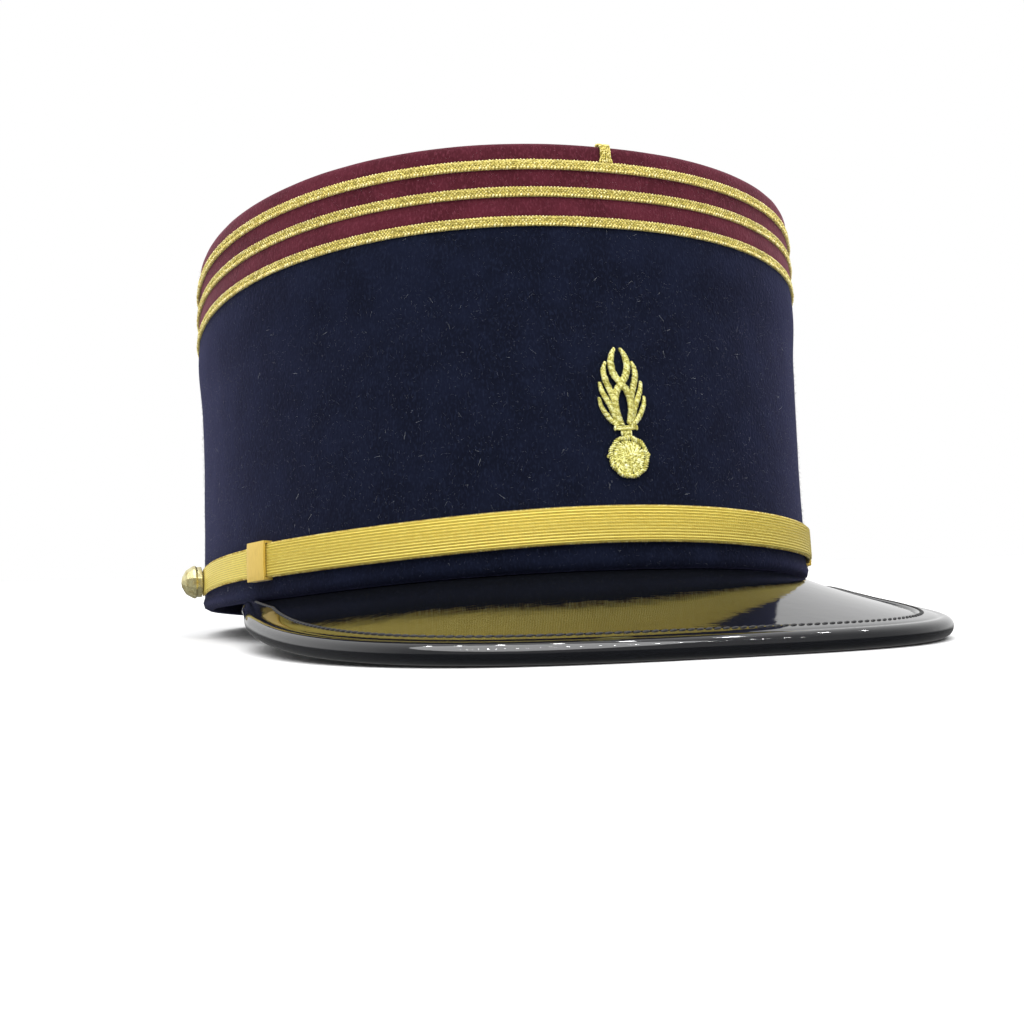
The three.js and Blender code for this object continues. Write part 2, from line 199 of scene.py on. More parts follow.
@dataclass
class WallRoute:
    """Distances measured round the wall at one height, from the front."""

    wall: CrownWall
    height: float
    steps: int = 1440
    lengths: np.ndarray = field(init=False)
    angles: np.ndarray = field(init=False)

    def __post_init__(self) -> None:
        """Tabulate the distance walked at each angle."""
        self.angles = np.linspace(-math.pi, math.pi, self.steps + 1)
        points = np.array([self.wall.ruled(angle, self.height) for angle in self.angles])
        walked = np.concatenate([[0], np.cumsum(np.linalg.norm(np.diff(points, axis=0), axis=1))])
        self.lengths = walked - walked[self.steps // 2]

    @property
    def length(self) -> float:
        """Once round the wall."""
        return float(self.lengths[-1] - self.lengths[0])

    def angle(self, distance: float) -> float:
        """Angle reached after a distance from the front."""
        return float(np.interp(distance, self.lengths, self.angles))

    def distance(self, angle: float) -> float:
        """Distance from the front to an angle."""
        return float(np.interp(angle, self.angles, self.lengths))


@dataclass(frozen=True)
class Section:
    """Smooth line through (height, outset) rows, measured by its length."""

    rows: tuple[tuple[float, float], ...]
    closed: bool = False

    @lru_cache(maxsize=None)
    def table(self) -> tuple[np.ndarray, np.ndarray]:
        """Distances along a finely drawn Catmull-Rom line, and its points."""
        rows = np.array(self.rows, float)
        count = len(rows)
        pick = (lambda i: rows[i % count]) if self.closed else (lambda i: rows[min(max(i, 0), count - 1)])
        points = []
        for index in range(count if self.closed else count - 1):
            before, start, end, after = (pick(index + shift) for shift in (-1, 0, 1, 2))
            reach = np.linalg.norm(end - start)
            lead = (end - before) / max(np.linalg.norm(end - before), 1e-6) * reach
            tail = (after - start) / max(np.linalg.norm(after - start), 1e-6) * reach
            for share in np.linspace(0, 1, 12, endpoint=False):
                s2, s3 = share**2, share**3
                points.append(
                    (2 * s3 - 3 * s2 + 1) * start
                    + (s3 - 2 * s2 + share) * lead
                    + (3 * s2 - 2 * s3) * end
                    + (s3 - s2) * tail
                )
        points.append(pick(0) if self.closed else pick(count - 1))
        line = np.array(points)
        walked = np.concatenate([[0], np.cumsum(np.linalg.norm(np.diff(line, axis=0), axis=1))])
        return walked, line

    @property
    def length(self) -> float:
        """Length of the whole line."""
        return float(self.table()[0][-1])

    def at(self, distance: float) -> tuple[float, float]:
        """Height and outset at a distance along the line."""
        walked, line = self.table()
        return float(np.interp(distance, walked, line[:, 0])), float(np.interp(distance, walked, line[:, 1]))


# ---- hand modelling ------------------------------------------------------------------


@contextmanager
def editing(piece: bpy.types.Object) -> Iterator[None]:
    """Edit one piece with everything in it selected."""
    bpy.ops.object.select_all(action="DESELECT")
    piece.select_set(True)
    bpy.context.view_layer.objects.active = piece
    bpy.ops.object.mode_set(mode="EDIT")
    bpy.ops.mesh.select_all(action="SELECT")
    yield
    bpy.ops.object.mode_set(mode="OBJECT")


def pick_faces(piece: bpy.types.Object, wanted: Callable[[bpy.types.MeshPolygon], bool]) -> None:
    """Select the faces that pass a test, and no others.

    Args:
        piece: The piece.
        wanted: The test, on a face's place or normal.
    """
    with editing(piece):
        bpy.ops.mesh.select_mode(type="FACE")
        bpy.ops.mesh.select_all(action="DESELECT")
    for polygon in piece.data.polygons:
        polygon.select = wanted(polygon)
    bpy.ops.object.mode_set(mode="EDIT")


def adopt(name: str) -> bpy.types.Object:
    """Name the primitive that was just added."""
    piece = bpy.context.active_object
    piece.name = piece.data.name = name
    return piece


def settle(piece: bpy.types.Object) -> None:
    """Move a primitive's place and scale into its mesh."""
    bpy.context.view_layer.objects.active = piece
    bpy.ops.object.transform_apply(location=True, rotation=True, scale=True)


def apply_modifier(piece: bpy.types.Object, kind: str, **settings: object) -> None:
    """Add one modifier and apply it.

    Args:
        piece: The piece that takes it.
        kind: The modifier's type.
        settings: Its properties.
    """
    bpy.context.view_layer.objects.active = piece
    modifier = piece.modifiers.new(kind.title(), kind)
    for key, value in settings.items():
        setattr(modifier, key, value)
    bpy.ops.object.modifier_apply(modifier=modifier.name)


def lowest_first(corners: list[int]) -> list[int]:
    """Turn a face's corners round so that it starts at the lowest."""
    start = corners.index(min(corners))
    return corners[start:] + corners[:start]


@dataclass(frozen=True)
class Workshop:
    """Makes pieces and sets them in their place in the row frame."""

    frame: CapFrame
    weld: float = 0.01

    def loft(self, name: str, columns: int, rows: int, place: Place) -> bpy.types.Object:
        """Wrap a flat grid into a closed shape.

        Args:
            name: The piece's name.
            columns: Cells along the shape.
            rows: Cells round its section.
            place: Where the grid's point at shares u and v goes, in the cap's frame.

        Returns:
            The piece, welded where its edges meet, with its ends filled.
        """
        bpy.ops.mesh.primitive_grid_add(x_subdivisions=columns, y_subdivisions=rows, size=1)
        piece = adopt(name)
        for vertex in piece.data.vertices:
            vertex.co = place(vertex.co.x + 0.5, vertex.co.y + 0.5)
        with editing(piece):
            bpy.ops.mesh.remove_doubles(threshold=self.weld)
            bpy.ops.mesh.delete_loose()
            bpy.ops.mesh.select_all(action="SELECT")
            bpy.ops.mesh.fill_holes(sides=0)
            bpy.ops.mesh.normals_make_consistent(inside=False)
        return piece

    def repeat(self, name: str, model: bpy.types.Object, places: Sequence[Matrix]) -> bpy.types.Object:
        """Join many copies of a small model into one piece.

        Args:
            name: The piece's name.
            model: The small model, which is used up.
            places: One matrix for each copy, in the cap's frame.

        Returns:
            The joined piece.
        """
        mesh = model.data
        # The model's own order differs from run to run, and each copy's random tone depends on it.
        order = sorted(range(len(mesh.vertices)), key=lambda index: mesh.vertices[index].co.to_tuple(4))
        rank = {index: position for position, index in enumerate(order)}
        corners = np.array([(*mesh.vertices[index].co, 1.0) for index in order])
        ranked = [[rank[corner] for corner in polygon.vertices] for polygon in mesh.polygons]
        faces = sorted(map(lowest_first, ranked))
        moved = np.einsum("nij,vj->nvi", np.array([np.array(place) for place in places]), corners)[..., :3]
        count = len(corners)
        joined = bpy.data.meshes.new(name)
        shifted = [
            tuple(corner + count * copy for corner in face) for copy in range(len(places)) for face in faces
        ]
        joined.from_pydata(moved.reshape(-1, 3).tolist(), [], shifted)
        piece = bpy.data.objects.new(name, joined)
        bpy.context.scene.collection.objects.link(piece)
        bpy.data.objects.remove(model)
        return piece

    def join(self, pieces: Sequence[bpy.types.Object]) -> bpy.types.Object:
        """Join pieces into the first of them, each with its own finish."""
        bpy.ops.object.select_all(action="DESELECT")
        for piece in pieces:
            piece.select_set(True)
        bpy.context.view_layer.objects.active = pieces[0]
        bpy.ops.object.join()
        return pieces[0]

    def paint(self, piece: bpy.types.Object, finish: bpy.types.Material) -> None:
        """Give a piece its finish and smooth shading."""
        piece.data.materials.clear()
        piece.data.materials.append(finish)
        piece.data.shade_smooth()

    def deliver(self, piece: bpy.types.Object, slot: Slot, node: str) -> None:
        """Set a finished piece into the row frame in place of its CAD node.

        Args:
            piece: The piece, shaped in the cap's frame.
            slot: The record's slot for the piece's finish; it is not used.
            node: The CAD node that it stands for.
        """
        piece.data.transform(self.frame.to_row)
        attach(piece, BODY)
        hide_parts(node)
        triangles = sum(len(polygon.vertices) - 2 for polygon in piece.data.polygons)
        LOG.info("%s: %d triangles", piece.name, triangles)


# ---- shader maths --------------------------------------------------------------------


class Value:
    """A shader socket that can be reckoned with."""

    def __init__(self, paint: Paint, socket: bpy.types.NodeSocket) -> None:
        """Wrap one output socket of a paint's tree."""
        self.paint = paint
        self.socket = socket

    def maths(self, operation: str, *others: Value | float, clamp: bool = False) -> Value:
        """Add one Math node.

        Args:
            operation: The node's operation.
            others: Its further inputs.
            clamp: Whether the result is kept from 0 to 1.

        Returns:
            The result.
        """
        settings = {"operation": operation, "use_clamp": clamp}
        return self.paint.node("ShaderNodeMath", settings, dict(enumerate((self, *others)))).output()

    def __add__(self, other: Value | float) -> Value:
        """Sum."""
        return self.maths("ADD", other)

    __radd__ = __add__

    def __sub__(self, other: Value | float) -> Value:
        """Difference."""
        return self.maths("SUBTRACT", other)

    def __rsub__(self, other: float) -> Value:
        """Difference from a number."""
        return self.maths("MULTIPLY", -1.0).maths("ADD", other)

    def __mul__(self, other: Value | float) -> Value:
        """Product."""
        return self.maths("MULTIPLY", other)

    __rmul__ = __mul__

    def sine(self) -> Value:
        """Sine of the value."""
        return self.maths("SINE")

    def size(self) -> Value:
        """Value without its sign."""
        return self.maths("ABSOLUTE")

    def between(self, low: float, high: float) -> Value:
        """Soft step from 0 at low to 1 at high."""
        settings = {"interpolation_type": "SMOOTHSTEP"}
        return self.paint.node("ShaderNodeMapRange", settings, {0: self, 1: low, 2: high}).output()


@dataclass
class Node:
    """One shader node in a paint's tree."""

    paint: Paint
    raw: bpy.types.ShaderNode

    def output(self, key: int | str = 0) -> Value:
        """One of the node's results."""
        return Value(self.paint, self.raw.outputs[key])


class Paint:
    """A material under construction around one Principled shader."""

    def __init__(self, name: str, **fixed: float | Colour) -> None:
        """Start a material.

        Args:
            name: The material's name.
            fixed: Settings that are the same all over, by socket name with _ for spaces.
        """
        self.material = bpy.data.materials.new(name)
        self.material.use_nodes = True
        self.tree = self.material.node_tree
        self.shader = self.tree.nodes["Principled BSDF"]
        for key, value in fixed.items():
            socket = self.shader.inputs[key.replace("_", " ")]
            socket.default_value = (*value, 1.0) if isinstance(value, tuple) else value

    def node(self, kind: str, settings: dict[str, object], inputs: dict[int | str, object]) -> Node:
        """Add one node.

        Args:
            kind: The node's type.
            settings: Its own properties, which are set first.
            inputs: Values or links of its sockets.

        Returns:
            The node.
        """
        raw = self.tree.nodes.new(kind)
        for key, value in settings.items():
            setattr(raw, key, value)
        for key, value in inputs.items():
            if isinstance(value, Value):
                self.tree.links.new(value.socket, raw.inputs[key])
            else:
                raw.inputs[key].default_value = value
        return Node(self, raw)

    def place(self) -> Value:
        """Object coordinates, in metres."""
        return self.node("ShaderNodeTexCoord", {}, {}).output("Object")

    def flat(self) -> tuple[Value, Value]:
        """The piece's own UV map, apart."""
        uv = self.node("ShaderNodeTexCoord", {}, {}).output("UV")
        parts = self.node("ShaderNodeSeparateXYZ", {}, {0: uv})
        return parts.output(0), parts.output(1)

    def stretched(self, scale: tuple[float, float, float]) -> Value:
        """Object coordinates, scaled along each axis."""
        return self.node("ShaderNodeMapping", {}, {"Vector": self.place(), "Scale": scale}).output()

    def noise(self, size_mm: float, detail: float = 2.0, at: Value | None = None) -> Value:
        """Smooth noise.

        Args:
            size_mm: The size of its blotches.
            detail: Octaves of finer noise.
            at: Coordinates, the object's own if none are given.

        Returns:
            A value from 0 to 1.
        """
        inputs = {"Vector": at or self.place(), "Scale": 1 / (size_mm * MM), "Detail": detail}
        return self.node("ShaderNodeTexNoise", {}, inputs).output("Fac")

    def random(self) -> Value:
        """A random value for each loose part of the mesh."""
        return self.node("ShaderNodeNewGeometry", {}, {}).output("Random Per Island")

    def mix(self, factor: Value, low: Colour | Value, high: Colour | Value) -> Value:
        """Blend two colours."""
        ends = [(*end, 1.0) if isinstance(end, tuple) else end for end in (low, high)]
        node = self.node("ShaderNodeMix", {"data_type": "RGBA"}, {0: factor, 6: ends[0], 7: ends[1]})
        return node.output(2)

    def feed(self, socket: str, value: Value) -> None:
        """Drive one socket of the shader."""
        self.tree.links.new(value.socket, self.shader.inputs[socket])

    def bump(self, height: Value, depth_mm: float, strength: float = 1.0) -> None:
        """Raise the surface by a height from 0 to 1."""
        inputs = {"Height": height, "Distance": depth_mm * MM, "Strength": strength}
        self.feed("Normal", self.node("ShaderNodeBump", {}, inputs).output())


# ---- finishes ------------------------------------------------------------------------


@dataclass(frozen=True)
class WoolCloth:
    """Milled wool cloth with a short nap."""

    name: str
    deep: Colour
    plain: Colour
    lit: Colour
    sheen_tint: Colour
    sheen: float = 0.11

    def build(self) -> bpy.types.Material:
        """Mottled colour, fine fibres and a soft sheen at grazing angles."""
        sheen = {"Sheen_Weight": self.sheen, "Sheen_Roughness": 0.45, "Sheen_Tint": self.sheen_tint}
        paint = Paint(self.name, Roughness=0.95, **sheen)
        paint.shader.inputs["Specular IOR Level"].default_value = 0.06
        cloud = paint.noise(9.0, 3.0).between(0.35, 0.68)
        fibre = paint.noise(0.45, 3.0, paint.stretched((1.0, 1.0, 0.45)))
        pile = paint.noise(1.1, 2.0)
        ground = paint.mix(cloud, self.deep, self.plain)
        paint.feed("Base Color", paint.mix(fibre.between(0.45, 0.8), ground, self.lit))
        paint.bump(fibre * 0.6 + pile * 0.6, 0.35, 0.7)
        return paint.material


@dataclass(frozen=True)
class MetalThread:
    """Gold thread, each stitch a little brighter or duller than the next."""

    name: str
    shade: Colour
    plain: Colour
    bright: Colour
    roughness: float = 0.42
    metallic: float = 0.35
    speckle_mm: float = 0.42

    def build(self) -> bpy.types.Material:
        """Metallic thread: the cream tone is a painted glint and the olive tone painted shade, both spread
        at random.
        """
        paint = Paint(self.name, Metallic=self.metallic, Sheen_Weight=0.1)
        chance = paint.random()
        grain = paint.noise(self.speckle_mm, 1.0)
        tone = chance * 0.3 + grain
        # Painted light: shade stands for shade between the threads and bright for glints, placed by random
        # tone.
        ground = paint.mix(tone.between(0.5, 0.72), self.shade, self.plain)
        paint.feed("Base Color", paint.mix(tone.between(0.68, 0.85), ground, self.bright))
        paint.feed("Roughness", grain * 0.3 + (self.roughness - 0.15))
        paint.bump(grain, 0.3, 1.0)
        return paint.material


@dataclass(frozen=True)
class RibbedRibbon:
    """Gold ribbon of fine cords, each wound slantwise with thread."""

    name: str
    shade: Colour
    plain: Colour
    bright: Colour
    length: float
    ribs: int
    pitch: float = 0.62

    def build(self) -> bpy.types.Material:
        """Slanting thread along each cord, with painted shade between the cords and painted glints on the
        threads.
        """
        paint = Paint(self.name, Metallic=0.35)
        along, across = paint.flat()
        turn = along * (self.length / self.pitch * math.tau)
        slant = across * (self.ribs / 0.8 * math.pi * 2)
        thread = (turn + slant).sine() * 0.5 + 0.5
        grain = paint.noise(0.7, 3.0)
        groove = (across * (self.ribs / 0.8 * math.pi)).sine().size()
        fleck = paint.noise(0.45, 2.0)
        # Painted shade: the shade colour fills the grooves between the cords.
        ground = paint.mix((groove + fleck * 0.9).between(0.5, 1.05), self.shade, self.plain)
        # Painted glints: the bright colour on the thread crests and cord tops.
        glint = (thread * 0.4 + grain * 0.6 + groove * 0.3).between(0.55, 1.1)
        paint.feed("Base Color", paint.mix(glint, ground, self.bright))
        paint.feed("Roughness", grain * 0.25 + 0.28)
        paint.bump(thread * 0.8 + grain * 0.3, 0.12, 0.8)
        return paint.material


@dataclass(frozen=True)
class SatinRibbon:
    """Close satin ribbon of a keeper."""

    name: str
    shade: Colour
    bright: Colour

    def build(self) -> bpy.types.Material:
        """Fine upright threads under a soft gloss."""
        paint = Paint(self.name, Metallic=0.3, Roughness=0.45, Sheen_Weight=0.15)
        thread = paint.noise(0.22, 2.0, paint.stretched((1.0, 1.0, 0.1)))
        paint.feed("Base Color", paint.mix(thread.between(0.1, 0.9), self.shade, self.bright))
        paint.bump(thread, 0.04, 0.4)
        return paint.material


@dataclass(frozen=True)
class GiltMetal:
    """Bright gilt button metal."""

    name: str = "gilt_button_metal"
    plain: Colour = (0.74, 0.68, 0.37)
    worn: Colour = (0.56, 0.46, 0.20)

    def build(self) -> bpy.types.Material:
        """Polished metal with slightly dull patches."""
        paint = Paint(self.name, Metallic=0.7)
        tarnish = paint.noise(1.6, 3.0)
        paint.feed("Base Color", paint.mix(tarnish.between(0.4, 0.75), self.plain, self.worn))
        paint.feed("Roughness", tarnish * 0.2 + 0.16)
        paint.bump(paint.noise(0.8, 1.0), 0.05, 0.5)
        return paint.material


@dataclass(frozen=True)
class PatentLeather:
    """Black leather under a thick clear gloss."""

    name: str = "patent_leather_black"
    base: Colour = (0.0045, 0.005, 0.0065)
    ripple_mm: float = 5.0
    streak_mm: float = 0.9
    depth_mm: float = 0.03

    def build(self) -> bpy.types.Material:
        """Near-mirror gloss with a faint ripple and finer orange peel."""
        paint = Paint(self.name, Base_Color=self.base, IOR=1.85)
        paint.feed("Roughness", paint.noise(3.0, 2.0) * 0.05 + 0.02)
        ripple = paint.noise(self.ripple_mm, 1.0)
        streak = paint.noise(self.streak_mm, 2.0, paint.stretched((0.22, 1.0, 1.0)))
        peel = paint.noise(0.5, 1.0)
        paint.bump(ripple + streak * 0.3 + peel * 0.1, self.depth_mm)
        return paint.material


@dataclass(frozen=True)
class WaxedThread:
    """Black sewing thread."""

    name: str = "black_thread"

    def build(self) -> bpy.types.Material:
        """Dull black with a slight gloss that varies."""
        paint = Paint(self.name, Base_Color=(0.012, 0.012, 0.014))
        paint.feed("Roughness", paint.noise(0.6) * 0.3 + 0.3)
        return paint.material


@dataclass(frozen=True)
class LooseFibre:
    """Pale lint, or stray fibres of the cloth's own colour."""

    name: str
    dull: Colour
    pale: Colour

    def build(self) -> bpy.types.Material:
        """Each fibre has its own tone."""
        paint = Paint(self.name, Roughness=0.8, Sheen_Weight=0.3)
        paint.feed("Base Color", paint.mix(paint.random(), self.dull, self.pale))
        return paint.material


@dataclass(frozen=True)
class PaleFloor:
    """Plain pale floor."""

    name: str = "pale_floor"

    def build(self) -> bpy.types.Material:
        """Matt, very slightly uneven white."""
        paint = Paint(self.name, Roughness=0.9)
        paint.feed("Base Color", paint.mix(paint.noise(400.0), (0.93, 0.93, 0.93), (0.9, 0.9, 0.9)))
        return paint.material


# ---- crown ---------------------------------------------------------------------------


@dataclass
class Crown:
    """The hollow cloth crown: navy band, crimson upper part and crimson top panel."""

    shop: Workshop
    wall: CrownWall
    seam: float = SEAM
    top_drop: float = 2.6
    panel_thickness: float = 2.0
    panel_sag: float = 1.2
    around: int = 384
    ripple: float = 0.22
    hem_rows: tuple[tuple[float, float], ...] = (
        (0.0, -1.3),
        (0.4, -0.4),
        (1.2, 0.3),
        (2.1, 0.5),
        (3.0, 0.3),
        (3.8, 0.0),
    )
    fold_rows: tuple[tuple[float, float], ...] = (
        (99.8, 0.0),
        (100.9, -0.4),
        (101.4, -1.2),
        (101.0, -2.1),
        (99.8, -WALL),
    )

    def cloth_point(self, angle: float, height: float, outset: float) -> Vector:
        """Point on cloth, with the slight unevenness of pressed wool."""
        point = self.wall.at(angle, height, outset)
        uneven = noise.noise(point * 0.035) + 0.35 * noise.noise(point * 0.12)
        return point + self.wall.outward(angle, height) * uneven * self.ripple

    def band(self, finish: bpy.types.Material) -> None:
        """Navy band with its rounded, arched hem."""
        walls = tuple((height, 0.0) for height in (20.0, 40.0, 60.0, self.seam))
        inside = tuple((height, -WALL) for height in (self.seam, 60.0, 40.0, 20.0, 3.0, 0.0))
        section = Section(self.hem_rows + walls + inside, closed=True)

        def place(u: float, v: float) -> Vector:
            angle = lerp(-math.pi, math.pi, u)
            height, outset = section.at(v * section.length)
            lifted = height + self.wall.hem_rise(angle) * (1 - height / self.seam)
            return self.cloth_point(angle, lifted, outset)

        piece = self.shop.loft("crown_band_cloth", self.around, 104, place)
        self.shop.paint(piece, finish)
        self.shop.deliver(piece, Slot.NAVY, "crown_band")

    def upper(self, finish: bpy.types.Material) -> None:
        """Crimson cloth above the lowest braid, folded in at the top edge."""
        foot = self.seam + GAP
        section = Section(
            ((foot, 0.0), (90.0, 0.0)) + self.fold_rows + ((90.0, -WALL), (foot, -WALL)), closed=True
        )

        def place(u: float, v: float) -> Vector:
            height, outset = section.at(v * section.length)
            return self.cloth_point(lerp(-math.pi, math.pi, u), height, outset)

        piece = self.shop.loft("crown_upper_cloth", self.around, 52, place)
        self.shop.paint(piece, finish)
        self.shop.deliver(piece, Slot.CRIMSON, "crown_upper")

    def panel(self, finish: bpy.types.Material) -> None:
        """Crimson top panel, sunk below the top edge and sagging a little."""
        face = self.wall.height - self.top_drop
        centre = Vector((0, self.wall.top.centre_y, 0))
        rows = 52
        half = rows // 2

        def place(u: float, v: float) -> Vector:
            angle = lerp(-math.pi, math.pi, u)
            row = round(v * rows) or rows
            under = row > half
            share = ((rows - row if under else row - 1) / (half - 1)) ** 1.5
            edge = self.wall.at(angle, face, -WALL - GAP * 0.3)
            point = centre.lerp(Vector((edge.x, edge.y, 0)), 1 - share)
            lip = 1.1 * smoothstep(1 - share, 0.93, 1.0)
            uneven = 0.35 * noise.noise(Vector((point.x, point.y, 5.0)) * 0.03)
            drop = self.panel_sag * (1 - (1 - share) ** 2) + (self.panel_thickness if under else 0)
            point.z = face - drop + (0 if under else lip) + uneven * share
            return point

        piece = self.shop.loft("crown_top_cloth", self.around // 2, rows, place)
        self.shop.paint(piece, finish)
        self.shop.deliver(piece, Slot.CRIMSON, "crown_top")


# ---- braids --------------------------------------------------------------------------


@dataclass
class Braids:
    """Plaited soutache: a flat core under five rows of slanting stitches."""

    shop: Workshop
    wall: CrownWall
    stitch_finish: bpy.types.Material
    lit_edge_finish: bpy.types.Material
    shaded_core_finish: bpy.types.Material
    width: float = 2.4
    pitch: float = 0.8
    heights: tuple[tuple[str, float], ...] = (
        ("braid_upper", 95.6),
        ("braid_middle", 88.8),
        ("braid_lower", 81.6),
    )
    # Rows of stitches: place across the braid, lift above the core, slant in degrees, length and breadth.
    rows: tuple[tuple[float, float, float, float, float], ...] = (
        (1.02, 0.5, 62, 0.6, 0.5),
        (0.56, 0.62, -50, 0.74, 0.4),
        (0.08, 0.68, 50, 0.74, 0.4),
        (-0.4, 0.68, -50, 0.74, 0.4),
        (-0.9, 0.66, 56, 1.0, 0.62),
    )
    front_rows: tuple[float, ...] = (-1.15, -0.7, -0.24, 0.24, 0.7, 1.15)

    def grain(self) -> bpy.types.Object:
        """One stitch, 1 mm long before it is scaled."""
        bpy.ops.mesh.primitive_uv_sphere_add(segments=5, ring_count=4, radius=0.5)
        return adopt("stitch")

    def stitch_shape(self, slant: float, length: float, breadth: float) -> Matrix:
        """Scale and slant of one stitch on the wall."""
        size = Matrix.Diagonal((length, breadth, breadth * 1.15, 1.0))
        return Matrix.Rotation(math.radians(slant), 4, "Z") @ size

    def ring(self, node: str, height: float) -> None:
        """One braid round the whole crown."""
        route = WallRoute(self.wall, height)
        half = self.width / 2
        section = Section(
            ((-half, 0.15), (-half * 0.8, 0.72), (0.0, 0.62), (half * 0.8, 0.72), (half, 0.15)), closed=True
        )

        def place(u: float, v: float) -> Vector:
            rise, outset = section.at(v * section.length)
            return self.wall.at(lerp(-math.pi, math.pi, u), height + rise, outset)

        core = self.shop.loft(f"{node}_core", 360, 16, place)
        # The core takes a darker copy of the gold: painted shade seen in the gaps between the stitches.
        self.shop.paint(core, self.shaded_core_finish)
        count = round(route.length / self.pitch)
        rng = random.Random(height)
        places: tuple[list[Matrix], list[Matrix]] = ([], [])
        for index in range(count):
            walked = (index / count - 0.5) * route.length
            for row, (across, lift, slant, length, breadth) in enumerate(self.rows):
                angle = route.angle(walked + (row % 2) * self.pitch / 2)
                basis = self.wall.basis(angle, height + across + rng.uniform(-0.05, 0.05), lift)
                turn = slant + rng.uniform(-9, 9)
                shape = self.stitch_shape(turn, length, breadth * rng.uniform(0.85, 1.15))
                places[row in (0, len(self.rows) - 1)].append(basis @ shape)
        plait = self.shop.repeat(f"{node}_plait", self.grain(), places[0])
        self.shop.paint(plait, self.stitch_finish)
        # The top and bottom rows take a lighter copy of the gold: painted highlight along the braid's edges.
        edges = self.shop.repeat(f"{node}_edges", self.grain(), places[1])
        self.shop.paint(edges, self.lit_edge_finish)
        self.shop.deliver(self.shop.join([plait, edges, core]), Slot.BRAID, node)

    def front(self, fold: Section) -> None:
        """Short upright braid from the upper braid over the top edge.

        Args:
            fold: The crown's outline from the upper braid up and over its edge.
        """
        route = WallRoute(self.wall, self.wall.height)
        rng = random.Random(11)
        places = []
        count = round(fold.length / (self.pitch * 0.52))
        for index in range(count):
            walked = (index + 0.5) / count * fold.length
            height, outset = fold.at(walked)
            ahead_height, ahead_outset = fold.at(min(walked + 0.2, fold.length))
            tip = math.atan2(outset - ahead_outset, max(ahead_height - height, -0.2))
            foot = 1 - smoothstep(walked, 0.0, 1.4)
            flare = 1 + 0.3 * foot + 0.22 * smoothstep(walked, 3.6, fold.length)
            for row, across in enumerate(self.front_rows):
                angle = route.angle(across * flare + rng.uniform(-0.04, 0.04))
                basis = self.wall.basis(angle, height, outset)
                tilt = Matrix.Rotation(-tip, 4, "X") @ Matrix.Translation((0, 0, 0.5))
                slant = 90 + (40 if row % 2 else -40) + rng.uniform(-9, 9)
                shape = self.stitch_shape(slant, 0.74, 0.5 * flare * rng.uniform(0.9, 1.1))
                places.append(basis @ tilt @ shape)
        piece = self.shop.repeat("braid_front_plait", self.grain(), places)
        self.shop.paint(piece, self.stitch_finish)
        self.shop.deliver(piece, Slot.BRAID, "braid_front")


# ---- badge ---------------------------------------------------------------------------


@dataclass(frozen=True)
class Strand:
    """One tongue of flame: (side, height, half width) rows from its root to its tip."""

    rows: tuple[tuple[float, float, float], ...]
    lift: float = 0.55

    def at(self, share: float) -> tuple[Vector, float]:
        """Place and half width at a share of the strand."""
        rows = np.array(self.rows)
        knots = np.linspace(0, 1, len(rows))
        values = [self.blend(knots, rows[:, column], share) for column in range(3)]
        return Vector(values[:2]), values[2]

    @staticmethod
    def blend(knots: np.ndarray, values: np.ndarray, share: float) -> float:
        """Smooth curve through equally spaced values."""
        slopes = np.gradient(values, knots)
        index = min(int(share * (len(knots) - 1)), len(knots) - 2)
        step = knots[1] - knots[0]
        t = (share - knots[index]) / step
        return float(
            (2 * t**3 - 3 * t**2 + 1) * values[index]
            + (t**3 - 2 * t**2 + t) * slopes[index] * step
            + (3 * t**2 - 2 * t**3) * values[index + 1]
            + (t**3 - t**2) * slopes[index + 1] * step
        )


